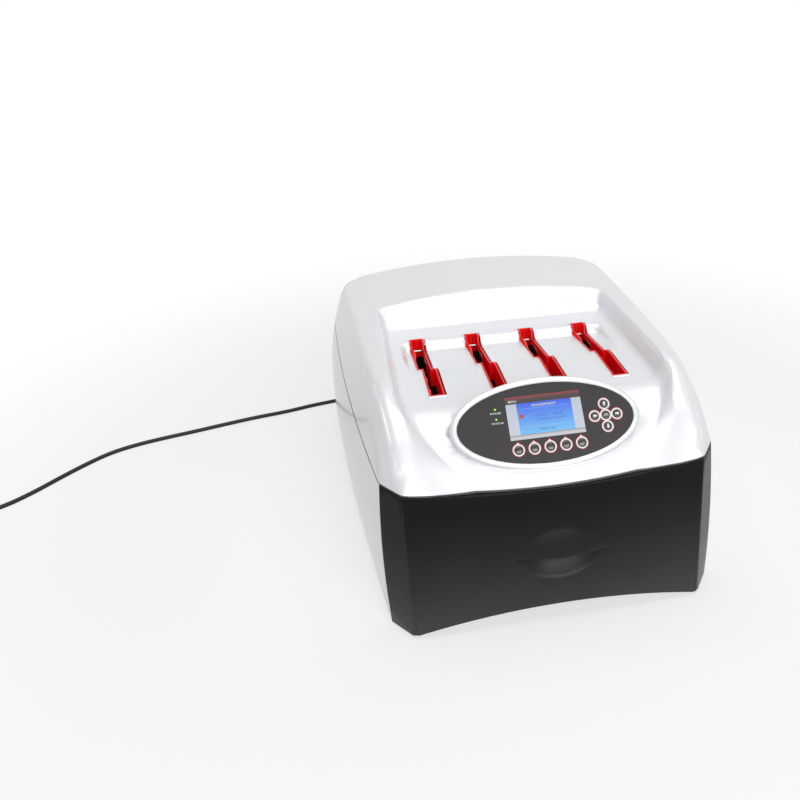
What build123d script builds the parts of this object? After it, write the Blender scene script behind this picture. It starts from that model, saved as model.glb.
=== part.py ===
from build123d import *
from math import atan, cos, hypot, pi, radians, sin, sqrt, tan
import os

# Western blot processor: a bench instrument with a crowned top cover, four card ports,
# an oval console and a front drawer. X is across, Y runs to the rear, Z is up.
# The origin is on the bench, under the middle of the instrument without its cord.

os.makedirs("parts", exist_ok=True)

# Housing outline
half_depth = 318.0
front_half_width = 186.5
front_bow = 6.0
front_lean = 27.0
chamfer_across = 24.5
chamfer_back = 33.0
side_mid_half = front_half_width + 51.0
side_rear_half = front_half_width + 59.5
side_bulge = 13.0
bulge_height = 92.0
rear_bow = 22.0
rear_corner_radius = 60.0
front_corner_radius = 4.0
seam_height = 198.0
seam_dip = 10.0
housing_bottom = 4.0
outline_top = 300.0

# Roof of the top cover
roof_crown_radius = 1200.0
roof_front_y = 27.0 - half_depth
roof_front_z = 204.0
roof_knee_y = 85.0 - half_depth
roof_knee_z = 264.5
roof_peak_y = 185.0 - half_depth
roof_peak_z = 293.5
roof_rear_z = 276.0
roof_rear_radius = 34.0
facet_front_half = front_half_width
facet_spread = 0.089
facet_slope = 1.55
facet_reach = 1100.0
roof_half_turn = 20.0
roof_skirt = 60.0

# Shell walls and gaps
shell_wall = 3.0
seam_gap = 0.6
frame_thickness = 4.0
frame_opening_half = front_half_width + 3.5
frame_opening_low = 38.0
frame_opening_high = 176.0
frame_opening_corner = 8.0
panel_gap = 0.8

# Deck pocket
deck_z = 248.6
pocket_half_width = front_half_width - 18.5
pocket_wall_run = 11.0
pocket_wall_rise = 28.5
pocket_front_y = 153.0 - half_depth
pocket_rear_y = 394.0 - half_depth
pocket_rear_run = 31.0
pocket_rear_rise = 33.0
pocket_cove = 14.0
terrace_depth = 11.5
terrace_half_width = pocket_half_width - 15.5
terrace_rear_y = 341.5 - half_depth
terrace_fade_y = 241.0 - half_depth
terrace_wall_angle = 20.0
terrace_corner = 13.0

# The front of the pocket runs out into the front slope: for each Y, the floor height,
# the half width of the floor, and the run and rise of the wall beside it
apron_stations = [
    (-32.0 - half_depth, 139.0, pocket_half_width - 72.0, 90.0, 9.0),
    (30.0 - half_depth, 189.5, pocket_half_width - 70.0, 88.0, 8.5),
    (53.0 - half_depth, 204.0, pocket_half_width - 54.0, 70.0, 20.0),
    (80.0 - half_depth, 223.0, pocket_half_width - 30.0, 34.0, 25.0),
    (115.0 - half_depth, 242.0, pocket_half_width - 8.0, 14.0, 25.0),
]
apron_corner = 12.0

# Card ports
port_count = 4
port_pitch = pocket_half_width / 2 - 1.3
port_shift = 3.1
port_width = 20.6
port_front_y = 173.5 - half_depth
port_step_y = 254.5 - half_depth
port_rear_y = 352.5 - half_depth
port_wall = 2.4
port_proud = 1.2
port_throat = 27.0
port_gap = 0.2
port_side_gap = 2.0
rim_width = 3.0
rim_proud = 0.9
guide_length = 96.0
contact_length = 46.0
contact_height = 14.0
contact_thick = 0.8
contact_drop = 16.0

# Console
console_y = 93.0 - half_depth
console_z = 250.2
console_tilt = 47.5
oval_half_width = 111.7
oval_half_height = 50.2
oval_drop = 9.2
oval_rim = 8.0
oval_proud = 1.6
oval_ledge = 6.0
overlay_thick = 1.5
overlay_gap = 0.12
pod_depth = 74.0
pod_edge_radius = 5.0
screen_width = 95.04
screen_height = 53.86
screen_margin = 2.0
display_thick = 6.0
board_thick = 1.6
soft_key_count = 5
soft_key_pitch = 19.88
soft_key_drop = 39.4
soft_key_size = 11.0
nav_x = 75.9
nav_drop = 8.9
nav_pitch = 14.3
nav_key_size = 10.4
key_proud = 1.6
key_gap = 0.15
key_dome_radius = 1.5
key_flange = 1.2
key_flange_thick = 1.0
key_stem = 3.0
key_stem_length = 1.0
led_x = -61.2
led_first = 13.8
led_pitch = 12.4
led_size = 2.4

# Drawer
arch_rise = 22.0
pull_half_width = 61.0
pull_lip_z = 88.0
pull_top = 40.0
pull_bottom = 34.0
pull_proud = 12.0
pull_depth = 22.0
pull_wall = 3.5
pull_inset = 0.4
backing_thick = 3.0
backing_gap = 0.3
tub_half_width = front_half_width - 14.5
tub_front_y = 38.0 - half_depth
tub_length = 312.0
tub_base_z = 42.0
tub_height = 62.0
tub_wall = 2.5
bay_gap = 5.0
bay_corner = 9.0
bay_front_y = tub_front_y + 24.0
bay_length = tub_length - 32.0
rail_height = 35.0
rail_length = tub_length - 12.0
rail_front_y = tub_front_y + 18.0
rail_z = 74.0
rail_depth = 12.0
rail_sheet = 1.5
rail_gap = 0.35
rail_lip_step = 0.6
rail_bend = 0.8
bracket_sheet = 2.0
bracket_foot = 14.0

# Base
plate_thick = 2.0
ledge_width = 11.0
ledge_thick = 4.0
plate_gap = 0.3
foot_radius = 15.0
foot_chamfer = 1.5
foot_x = front_half_width - 9.5
foot_front_y = 83.0 - half_depth
foot_rear_y = half_depth - 56.0

# Rear panel and its fittings
rear_panel_half_width = front_half_width - 21.5
rear_panel_low = 26.0
rear_panel_high = 168.0
rear_panel_y = half_depth - 18.0
rear_panel_thick = 2.0
panel_lap = 6.0
panel_fit = 0.3
collar_width = 8.0
vent_pitch_x = 16.0
vent_pitch_z = 9.0
vent_columns = 5
vent_rows = 5
vent_length = 12.0
vent_width = 4.0
vent_x = 114.0
vent_z = 118.0
inlet_x = 30.0
inlet_z = 62.0
inlet_width = 27.0
inlet_height = 20.0
inlet_depth = 30.0
inlet_flange = 11.0
inlet_flange_thick = 2.0
inlet_corner = 3.0
cavity_width = 24.0
cavity_height = 16.5
cavity_depth = 17.0
pin_spread = 7.0
pin_lift = 2.0
pin_width = 2.0
pin_height = 4.0
pin_length = 14.0
switch_x = 74.0
switch_width = 19.0
switch_height = 27.0
switch_bezel = 2.0
switch_depth = 20.0
rocker_width = 14.0
rocker_height = 20.0
rocker_swing = 9.0
rocker_gap = 0.5
rocker_sink = 5.0
rocker_top = 5.5
rocker_dish = 1.5
rocker_round = 2.5
trunnion_radius = 1.5
trunnion_length = 1.6
fan_x = -92.0
fan_z = 97.0
fan_size = 80.0
fan_depth = 25.0
fan_corner = 4.0
fan_bore_radius = 38.0
fan_screw_pitch = 71.5
fan_screw_radius = 2.2
fan_hub_radius = 17.0
fan_hub_depth = 17.0
fan_hub_round = 1.5
fan_blades = 7
fan_blade_chord = 20.0
fan_blade_sheet = 1.8
fan_blade_pitch = 38.0
fan_clearance = 1.2
fan_shaft_radius = 2.0
fan_bearing_gap = 0.05
fan_motor_depth = 4.0
fan_strut_width = 5.0
grille_rings = 5
grille_wire = 1.6
grille_pitch = 7.4
screw_head = 2.2

# Inside
tray_standoff = 8.0
board_x = -96.0
board_width = 130.0
board_length = 170.0
board_y = tub_front_y + tub_length + 33.0 + board_length / 2
supply_x = 78.0
supply_width = 96.0
supply_length = 160.0
supply_y = tub_front_y + tub_length + 38.0 + supply_length / 2
supply_height = 44.0
supply_vents = 7
board_edge = 14.0
standoff_radius = 3.0
chip_size = 28.0
chip_height = 4.0

# Power cord, from the appliance connector to the plug
cord_diameter = 7.0
cord_bend_share = 0.45
cord_route = [
    (30.0, 372.0, 62.0),
    (28.0, 404.0, 55.0),
    (8.0, 436.0, 27.0),
    (-34.0, 442.0, 5.5),
    (-90.0, 418.0, 3.5),
    (-150.0, 372.0, 3.5),
    (-206.0, 338.0, 3.5),
    (-256.0, 325.0, 3.5),
    (-306.0, 316.5, 3.5),
    (-354.0, 303.0, 3.5),
    (-410.0, 294.5, 3.5),
    (-468.0, 281.0, 3.5),
    (-524.0, 267.0, 3.5),
    (-570.0, 257.0, 3.5),
    (-618.0, 244.0, 3.5),
    (-658.0, 226.0, 3.5),
    (-692.0, 197.0, 3.5),
    (-724.0, 165.0, 3.5),
    (-758.0, 128.0, 3.5),
    (-794.0, 98.0, 3.5),
    (-836.0, 86.0, 3.5),
]
coil_x = -866.0
coil_y = 46.0
coil_mean_diameter = 81.1
coil_band = 14.4
coil_height = 21.0
coil_corner = 6.0
relief_length = 30.0
relief_radius = 6.0
grip_width = 26.0
grip_height = 19.0
connector_nose_width = 22.0
connector_nose_height = 14.5
connector_gap = 0.3
plug_width = 26.0
plug_thick = 20.0
plug_length = 38.0
plug_corner = 5.0
blade_spread = 6.35
blade_width = 1.6
blade_height = 6.4
blade_length = 17.0
earth_radius = 2.4
earth_lift = 6.0


def bulge(z, size):
    """How far a side stands out at a height: most at the fullest level, nothing at the seam."""
    return size * (1 - ((z - bulge_height) / (seam_height - bulge_height)) ** 2)


def front_corner_y(z):
    return front_bow - half_depth + front_lean * z / seam_height


def body_outline(z, inset):
    """Plan outline of the housing at a height."""
    corner_y = front_corner_y(z)
    end_x = front_half_width + chamfer_across + bulge(z, side_bulge / 3)
    end_y = corner_y + chamfer_back
    mid_x = side_mid_half + bulge(z, side_bulge)
    rear_x = side_rear_half + bulge(z, side_bulge)
    rear_y = half_depth - rear_bow
    with BuildSketch(Plane.XY.offset(z)) as outline:
        with BuildLine():
            ThreePointArc((-front_half_width, corner_y), (0, corner_y - front_bow), (front_half_width, corner_y))
            Line((front_half_width, corner_y), (end_x, end_y))
            ThreePointArc((end_x, end_y), (mid_x, 0), (rear_x, rear_y))
            ThreePointArc((rear_x, rear_y), (0, half_depth), (-rear_x, rear_y))
            ThreePointArc((-rear_x, rear_y), (-mid_x, 0), (-end_x, end_y))
            Line((-end_x, end_y), (-front_half_width, corner_y))
        make_face()
        fillet(outline.vertices().group_by(Axis.Y)[-1], radius=rear_corner_radius)
        front_corners = outline.vertices().filter_by(lambda corner: corner.Y < -half_depth / 2)
        fillet(front_corners, radius=front_corner_radius)
        if inset:
            offset(amount=-inset, kind=Kind.INTERSECTION, mode=Mode.REPLACE)
    return outline.sketch


def outline_solid(inset):
    with BuildPart() as outline:
        for z in (0, bulge_height, seam_height, outline_top):
            add(body_outline(z, inset))
        loft()
    return outline.part


def roof_section(plane, datum, rear_y, floor, inset):
    """Side profile under the roof, on a plane with Y across and height up."""
    start = (roof_front_y, roof_front_z - datum)
    end = (rear_y, roof_rear_z - datum)
    skirt = (roof_front_y - roof_skirt, start[1] - 2 * roof_skirt)
    peak = (roof_peak_y, roof_peak_z - datum)
    with BuildSketch(plane) as section:
        with BuildLine():
            ThreePointArc(start, (roof_knee_y, roof_knee_z - datum), peak)
            TangentArc(peak, end, tangent=(1, 0))
            Polyline(end, (rear_y, floor), (skirt[0], floor), skirt, start)
        make_face()
        rear_edge = section.vertices().group_by(Axis.X)[-1]
        fillet(rear_edge.sort_by(Axis.Y)[-1], radius=roof_rear_radius)
        if inset:
            offset(amount=-inset, kind=Kind.INTERSECTION, mode=Mode.REPLACE)
    return section.sketch


def roof_solid(inset):
    """The crowned roof: the side profile turned about a line along Y, deep under the bench."""
    axis_z = roof_peak_z - roof_crown_radius
    start = radians(-roof_half_turn)
    plane = Plane(origin=(0, 0, axis_z), x_dir=(0, 1, 0), z_dir=(cos(start), 0, -sin(start)))
    with BuildPart() as roof:
        add(roof_section(plane, axis_z, half_depth, roof_crown_radius / 2, inset))
        revolve(axis=Axis((0, 0, axis_z), (0, 1, 0)), revolution_arc=2 * roof_half_turn)
    return roof.part


def facet_solid(side, inset):
    """Everything under the slanted facet that runs along one edge of the roof."""
    spread = atan(facet_spread)
    half_at_middle = facet_front_half - facet_spread * roof_front_y
    drop = facet_front_half**2 / (2 * roof_crown_radius)
    plane = Plane(
        origin=(side * half_at_middle, 0, -drop),
        x_dir=(side * sin(spread), cos(spread), 0),
        z_dir=(cos(spread), -side * sin(spread), 0),
    )
    with BuildPart() as facet:
        add(roof_section(plane, 0, half_depth / cos(spread), -facet_reach * 4, inset))
        extrude(amount=facet_reach, dir=(side, 0, -facet_slope), both=True)
    return facet.part


def body_block(inset):
    """The whole housing as one solid, shrunk by the inset."""
    with BuildPart() as block:
        add(outline_solid(inset))
        add(roof_solid(inset), mode=Mode.INTERSECT)
        add(facet_solid(1, inset), mode=Mode.INTERSECT)
        add(facet_solid(-1, inset), mode=Mode.INTERSECT)
    return block.part


def above_seam(shift):
    """Everything above the seam between cover and housing, raised by the shift."""
    side_z = seam_height + shift
    with BuildPart() as region:
        with BuildSketch(Plane.XZ):
            with BuildLine():
                Line((-outline_top, side_z), (-front_half_width, side_z))
                ThreePointArc((-front_half_width, side_z), (0, side_z - seam_dip), (front_half_width, side_z))
                Polyline(
                    (front_half_width, side_z),
                    (outline_top, side_z),
                    (outline_top, 2 * outline_top),
                    (-outline_top, 2 * outline_top),
                    (-outline_top, side_z),
                )
            make_face()
        extrude(amount=2 * half_depth, both=True)
    return region.part


def pocket_section(y, floor_z, half_floor, run, rise, grow):
    """Cross-section of the deck pocket: floor, sloping walls, and open space above."""
    slant = hypot(run, rise)
    low = floor_z - grow
    half = half_floor + grow * (slant - run) / rise
    wide = outline_top + grow
    high = 1.4 * outline_top
    with BuildSketch(Plane.XZ.offset(-y)) as section:
        with BuildLine():
            Polyline(
                (-half, low),
                (half, low),
                (half + 2 * run, low + 2 * rise),
                (wide, high),
                (-wide, high),
                (-half - 2 * run, low + 2 * rise),
                (-half, low),
            )
        make_face()
        fillet(section.vertices().group_by(Axis.Y)[0], radius=apron_corner + grow)
    return section.sketch


def pocket_solid(grow):
    """The space above the deck and its apron, widened and deepened by a wall thickness."""
    rear_foot = pocket_rear_y + grow
    low = deck_z - grow
    lean = pocket_rear_run / pocket_rear_rise
    deck_station = (pocket_front_y, deck_z, pocket_half_width, pocket_wall_run, pocket_wall_rise)
    with BuildPart() as deck_space:
        add(pocket_section(*deck_station, grow))
        extrude(amount=2 * half_depth, dir=(0, 1, 0))
        with BuildSketch(Plane.YZ) as rear_profile:
            with BuildLine():
                Polyline(
                    (rear_foot - 2 * pocket_cove, low),
                    (rear_foot, low),
                    (rear_foot + lean * outline_top, low + outline_top),
                    (half_depth * 3, low + outline_top),
                    (half_depth * 3, 0),
                    (rear_foot - 2 * pocket_cove, 0),
                    close=True,
                )
            make_face()
            fillet(rear_profile.vertices().sort_by_distance((rear_foot, low))[0], radius=pocket_cove + grow)
        extrude(amount=2 * outline_top, both=True, mode=Mode.SUBTRACT)
    with BuildPart() as apron:
        for station in apron_stations:
            add(pocket_section(*station, grow))
        add(pocket_section(*deck_station, grow))
        loft()
    with BuildPart() as pocket:
        add(deck_space.part)
        add(apron.part)
    return pocket.part


def keep(part, name):
    """Label a finished piece and write its file."""
    part.label = name
    export_step(part, f"parts/{name}.step")


# Shared forms
outer_block = body_block(0)
inner_block = body_block(shell_wall)
console = Plane(
    origin=(0, console_y, console_z),
    x_dir=(1, 0, 0),
    z_dir=(0, -sin(radians(console_tilt)), cos(radians(console_tilt))),
)
lean_angle = atan(front_lean / seam_height)


def front_plane(distance):
    """The leaning plane behind the drawer front's chamfers, moved rearward by a distance."""
    return Plane(
        origin=(0, front_corner_y(0) + chamfer_back + distance, 0),
        x_dir=(1, 0, 0),
        z_dir=(0, -cos(lean_angle), sin(lean_angle)),
    )


def oval(height, grow):
    """The console's oval at a height above the console's face, grown all round."""
    with BuildSketch(console.offset(height)) as shape:
        with Locations((0, -oval_drop)):
            Ellipse(oval_half_width + grow, oval_half_height + grow)
    return shape.sketch


def side_slab(points, half_width):
    """A solid of constant width from a closed outline in Y and height."""
    with BuildPart() as slab:
        with BuildSketch(Plane.YZ):
            with BuildLine():
                Polyline(*points, close=True)
            make_face()
        extrude(amount=half_width, both=True)
    return slab.part


def under_arch(grow):
    """The space under the arched lower edge of the front, grown upward."""
    low = housing_bottom + grow
    with BuildPart() as space:
        with BuildSketch(Plane.XZ):
            with BuildLine():
                ThreePointArc((-front_half_width, low), (0, low + arch_rise), (front_half_width, low))
                Polyline(
                    (front_half_width, low),
                    (outline_top, low),
                    (outline_top, -outline_top),
                    (-outline_top, -outline_top),
                    (-outline_top, low),
                    (-front_half_width, low),
                )
            make_face()
        extrude(amount=2 * half_depth, both=True)
    return space.part


# Card ports: a slot whose rear half is set to the left and front half to the right
def port_outline(centre_x, z, grow):
    """Plan outline of one port at a height, grown all round."""
    left = centre_x - port_width / 2
    right = centre_x + port_width / 2
    with BuildSketch(Plane.XY.offset(z)) as shape:
        with BuildLine():
            Polyline(
                (left + port_shift, port_front_y),
                (right + port_shift, port_front_y),
                (right + port_shift, port_step_y),
                (right - port_shift, port_step_y),
                (right - port_shift, port_rear_y),
                (left - port_shift, port_rear_y),
                (left - port_shift, port_step_y),
                (left + port_shift, port_step_y),
                close=True,
            )
        make_face()
        if grow:
            offset(amount=grow, kind=Kind.INTERSECTION, mode=Mode.REPLACE)
    return shape.sketch


def under_deck(proud):
    """Everything below a surface that follows the deck and its terrace, at a height above them."""
    top = deck_z + proud
    points = [
        (-half_depth, 0),
        (-half_depth, top),
        (terrace_fade_y, top),
        (terrace_rear_y - terrace_lead - proud, top - terrace_depth),
        (terrace_rear_y - proud, top),
        (half_depth, top),
        (half_depth, 0),
    ]
    return side_slab(points, outline_top)


def terrace_space(grow):
    """The sunken middle of the deck, rising to deck level at its front, widened and deepened by a wall."""
    half = terrace_half_width + grow + terrace_lead
    front = terrace_fade_y - terrace_lead
    rear = terrace_rear_y + grow + terrace_lead
    low = deck_z - grow
    high = deck_z + terrace_depth
    slope = terrace_depth / (terrace_rear_y - terrace_lead - terrace_fade_y)
    with BuildPart() as space:
        with BuildSketch(Plane.XY.offset(high)) as mouth:
            with BuildLine():
                Polyline((-half, front), (half, front), (half, rear), (-half, rear), close=True)
            make_face()
            fillet(mouth.vertices().group_by(Axis.Y)[-1], radius=terrace_corner + grow + terrace_lead)
        extrude(amount=-3 * terrace_depth, taper=terrace_wall_angle)
        points = [
            (front, high),
            (front, low),
            (terrace_fade_y, low),
            (rear, low - slope * (rear - terrace_fade_y)),
            (rear, high),
        ]
        add(side_slab(points, outline_top), mode=Mode.INTERSECT)
    return space.part


terrace_lead = terrace_depth * tan(radians(terrace_wall_angle))
port_centres = [(i - (port_count - 1) / 2) * port_pitch - port_side_gap / 2 for i in range(port_count)]
throat_z = deck_z - port_throat

# Console pod, raised from the front slope
with BuildPart() as pod_outer:
    add(oval(oval_proud, oval_rim))
    extrude(amount=-pod_depth, dir=console.z_dir)
    pod_face = pod_outer.faces().sort_by(Axis(console.origin, console.z_dir))[-1]
    fillet(pod_face.edges(), radius=pod_edge_radius)

with BuildPart() as cover_space:
    add(inner_block)
    add(pocket_solid(shell_wall), mode=Mode.SUBTRACT)
    add(terrace_space(shell_wall), mode=Mode.SUBTRACT)
    with BuildSketch(console.offset(-overlay_thick - shell_wall)):
        with Locations((0, -oval_drop)):
            Ellipse(oval_half_width + oval_rim - shell_wall, oval_half_height + oval_rim - shell_wall)
    extrude(amount=-pod_depth)

with BuildPart() as port_rims:
    for centre_x in port_centres:
        for shift in (0, port_side_gap):
            add(port_outline(centre_x + shift, deck_z - 2 * terrace_depth, rim_width))
            extrude(amount=3 * terrace_depth, dir=(0, 0, 1))
    add(under_deck(rim_proud), mode=Mode.INTERSECT)

# Top cover: a shell with the deck pocket, the terrace, the port rims and the console pod
with BuildPart() as top_cover:
    add(outer_block)
    add(pocket_solid(0), mode=Mode.SUBTRACT)
    add(terrace_space(0), mode=Mode.SUBTRACT)
    add(port_rims.part)
    add(pod_outer.part)
    add(above_seam(seam_gap / 2), mode=Mode.INTERSECT)
    add(cover_space.part, mode=Mode.SUBTRACT)
    add(oval(-overlay_thick, 0))
    extrude(amount=2 * pod_edge_radius, dir=console.z_dir, mode=Mode.SUBTRACT)
    add(oval(-overlay_thick - 2 * shell_wall, -oval_ledge))
    extrude(amount=2 * pod_edge_radius, dir=console.z_dir, mode=Mode.SUBTRACT)
    for centre_x in port_centres:
        for shift in (0, port_side_gap):
            add(port_outline(centre_x + shift, throat_z, port_gap))
            extrude(amount=2 * port_throat, dir=(0, 0, 1), mode=Mode.SUBTRACT)
keep(top_cover.part, "top_cover")

# Card ports, each a collar around one slot, with a guide below it and a contact strip inside
for number, centre_x in enumerate(port_centres, start=1):
    with BuildPart() as card_port:
        add(port_outline(centre_x, throat_z, 0))
        extrude(amount=2 * port_throat, dir=(0, 0, 1))
        add(port_outline(centre_x, throat_z, -port_wall))
        extrude(amount=2 * port_throat, dir=(0, 0, 1), mode=Mode.SUBTRACT)
        add(under_deck(port_proud), mode=Mode.INTERSECT)
    keep(card_port.part, f"card_port_{number}")
    with BuildPart() as card_guide:
        add(port_outline(centre_x, throat_z, 0))
        extrude(amount=-guide_length, dir=(0, 0, 1))
        add(port_outline(centre_x, throat_z, -port_wall))
        extrude(amount=-guide_length, dir=(0, 0, 1), mode=Mode.SUBTRACT)
    keep(card_guide.part, f"card_guide_{number}")

with BuildPart() as port_contacts:
    with BuildSketch(Plane.XY.offset(throat_z - contact_height)):
        for centre_x in port_centres:
            strip_x = centre_x - port_shift + port_width / 2 - port_wall - contact_thick / 2
            with Locations((strip_x, port_rear_y - port_wall - contact_length / 2)):
                Rectangle(contact_thick, contact_length)
    extrude(amount=contact_height + port_throat - contact_drop)
keep(port_contacts.part, "port_contacts")

# Console: overlay, screen, key board, lamps and keys
soft_keys = [
    (f"key_soft_{i + 1}", (i - (soft_key_count - 1) / 2) * soft_key_pitch, -soft_key_drop, soft_key_size)
    for i in range(soft_key_count)
]
nav_keys = [
    ("key_up", nav_x, nav_pitch - nav_drop, nav_key_size),
    ("key_down", nav_x, -nav_pitch - nav_drop, nav_key_size),
    ("key_left", nav_x - nav_pitch, -nav_drop, nav_key_size),
    ("key_right", nav_x + nav_pitch, -nav_drop, nav_key_size),
    ("key_ok", nav_x, -nav_drop, nav_key_size),
]
keys = soft_keys + nav_keys
lamp_places = [(led_x, led_first), (led_x, led_first - led_pitch)]
module_width = screen_width + 2 * screen_margin
module_height = screen_height + 2 * screen_margin

with BuildPart() as console_overlay:
    add(oval(-overlay_thick, -overlay_gap))
    extrude(amount=overlay_thick, dir=console.z_dir)
    with BuildSketch(console):
        Rectangle(screen_width + 2 * overlay_gap, screen_height + 2 * overlay_gap)
        with Locations(*lamp_places):
            Circle(led_size / 2 + overlay_gap)
        for name, across, up, size in keys:
            with Locations((across, up)):
                Circle(size / 2 + key_gap)
    extrude(amount=-overlay_thick, mode=Mode.SUBTRACT)
keep(console_overlay.part, "console_overlay")

with BuildPart() as display_window:
    with BuildSketch(console.offset(-overlay_thick)):
        Rectangle(screen_width, screen_height)
    extrude(amount=overlay_thick)
keep(display_window.part, "display_window")

with BuildPart() as display_module:
    with BuildSketch(console.offset(-overlay_thick)):
        Rectangle(module_width, module_height)
    extrude(amount=-display_thick)
keep(display_module.part, "display_module")

with BuildPart() as key_board:
    add(oval(-overlay_thick - shell_wall, -overlay_gap))
    extrude(amount=-board_thick, dir=console.z_dir)
    with BuildSketch(console):
        Rectangle(module_width + 2 * panel_gap, module_height + 2 * panel_gap)
    extrude(amount=-pod_depth, mode=Mode.SUBTRACT)
keep(key_board.part, "key_board")

with BuildPart() as status_leds:
    with BuildSketch(console.offset(-overlay_thick - shell_wall)):
        with Locations(*lamp_places):
            Circle(led_size / 2)
    extrude(amount=overlay_thick + shell_wall)
keep(status_leds.part, "status_leds")

for name, across, up, size in keys:
    with BuildPart() as key:
        with BuildSketch(console.offset(-overlay_thick - overlay_gap)):
            with Locations((across, up)):
                Circle(size / 2)
        extrude(amount=overlay_thick + overlay_gap + key_proud)
        dome = key.faces().sort_by(Axis(console.origin, console.z_dir))[-1]
        fillet(dome.edges(), radius=key_dome_radius)
        with BuildSketch(console.offset(-overlay_thick - overlay_gap)):
            with Locations((across, up)):
                Circle(size / 2 + key_flange)
        extrude(amount=-key_flange_thick)
        with BuildSketch(console.offset(-overlay_thick - overlay_gap - key_flange_thick)):
            with Locations((across, up)):
                Circle(key_stem / 2)
        extrude(amount=-key_stem_length)
    keep(key.part, name)

# Drawer front: a hollow chamfered panel with a hooded pull
pull = Plane(
    origin=(0, front_corner_y(pull_lip_z) - front_bow + pull_inset, pull_lip_z),
    x_dir=(1, 0, 0),
    z_dir=(0, -cos(lean_angle), sin(lean_angle)),
)
hood_radius = (pull_half_width**2 + pull_top**2) / (2 * pull_top)
hood_back = (pull_half_width**2 - pull_proud**2) / (2 * pull_proud)
hood_ball = hypot(hood_radius, hood_back)
scoop_radius = (pull_half_width**2 + pull_bottom**2) / (2 * pull_bottom)
scoop_ahead = (pull_half_width**2 - pull_depth**2) / (2 * pull_depth)
scoop_ball = hypot(scoop_radius, scoop_ahead)


def pull_pocket(grow):
    """The finger space of the pull: open below the lip, and reaching up behind the hood."""
    with BuildPart(pull) as below:
        with Locations((0, scoop_radius - pull_bottom, scoop_ahead)):
            Sphere(scoop_ball + grow)
        split(bisect_by=Plane(origin=pull.origin + pull.y_dir * grow, z_dir=pull.y_dir), keep=Keep.BOTTOM)
    with BuildPart(pull) as behind:
        with Locations((0, pull_top - hood_radius, -hood_back)):
            Sphere(hood_ball - pull_wall + grow)
        with Locations((0, scoop_radius - pull_bottom, scoop_ahead)):
            Sphere(scoop_ball + grow, mode=Mode.INTERSECT)
        with Locations((0, pull_top - hood_radius, 0)):
            Cylinder(hood_radius - pull_wall + grow, 4 * pull_depth, mode=Mode.INTERSECT)
    with BuildPart() as pocket:
        add(below.part)
        add(behind.part)
    return pocket.part


with BuildPart(pull) as hood:
    with Locations((0, pull_top - hood_radius, -hood_back)):
        Sphere(hood_ball)
    split(bisect_by=Plane(origin=pull.origin, z_dir=pull.y_dir), keep=Keep.TOP)
    split(bisect_by=pull.offset(-shell_wall), keep=Keep.TOP)

with BuildPart() as pull_boss:
    add(pull_pocket(pull_wall))
    add(outer_block, mode=Mode.INTERSECT)

with BuildPart() as front_space:
    add(inner_block)
    add(above_seam(-seam_gap / 2 - shell_wall), mode=Mode.SUBTRACT)
    add(under_arch(shell_wall), mode=Mode.SUBTRACT)

with BuildPart() as drawer_front:
    add(outer_block)
    add(above_seam(-seam_gap / 2), mode=Mode.SUBTRACT)
    add(under_arch(0), mode=Mode.SUBTRACT)
    add(front_space.part, mode=Mode.SUBTRACT)
    add(pull_boss.part)
    split(bisect_by=front_plane(0), keep=Keep.TOP)
    add(hood.part)
    add(pull_pocket(0), mode=Mode.SUBTRACT)
keep(drawer_front.part, "drawer_front")

# Backing plate that closes the front from behind and carries the tub
with BuildPart() as front_backing:
    add(body_block(shell_wall + backing_gap))
    add(above_seam(-seam_gap / 2 - shell_wall - backing_gap), mode=Mode.SUBTRACT)
    add(under_arch(shell_wall + backing_gap), mode=Mode.SUBTRACT)
    split(bisect_by=front_plane(0), keep=Keep.TOP)
    split(bisect_by=front_plane(-backing_thick), keep=Keep.BOTTOM)
    add(pull_pocket(pull_wall + backing_gap), mode=Mode.SUBTRACT)
keep(front_backing.part, "front_backing")

# Front frame: the thin ring between the drawer front and the housing
with BuildPart() as front_frame:
    add(outer_block)
    add(above_seam(-seam_gap / 2), mode=Mode.SUBTRACT)
    add(under_arch(0), mode=Mode.SUBTRACT)
    split(bisect_by=front_plane(panel_gap), keep=Keep.BOTTOM)
    split(bisect_by=front_plane(panel_gap + frame_thickness), keep=Keep.TOP)
    with BuildSketch(front_plane(0)):
        with Locations((0, (frame_opening_low + frame_opening_high) / 2)):
            RectangleRounded(
                2 * frame_opening_half,
                frame_opening_high - frame_opening_low,
                frame_opening_corner,
            )
    extrude(amount=-2 * chamfer_back, mode=Mode.SUBTRACT)
keep(front_frame.part, "front_frame")

# Lower housing: open in front and below, with a collar round the rear panel
panel_centre_z = (rear_panel_low + rear_panel_high) / 2
panel_width = 2 * rear_panel_half_width
panel_height = rear_panel_high - rear_panel_low
panel_outer_y = rear_panel_y + rear_panel_thick

with BuildPart() as rear_collar:
    with BuildSketch(Plane.XZ.offset(-panel_outer_y)):
        with Locations((0, panel_centre_z)):
            Rectangle(panel_width + 2 * collar_width, panel_height + 2 * collar_width)
    extrude(amount=-half_depth)
    add(outer_block, mode=Mode.INTERSECT)

with BuildPart() as housing_space:
    add(inner_block)
    with BuildSketch(Plane.XY.offset(housing_bottom - ledge_thick)):
        Rectangle(4 * half_depth, 4 * half_depth)
    extrude(amount=2 * ledge_thick, mode=Mode.SUBTRACT)
    add(body_outline(housing_bottom - ledge_thick, shell_wall + ledge_width))
    extrude(amount=2 * ledge_thick, dir=(0, 0, 1))

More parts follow.
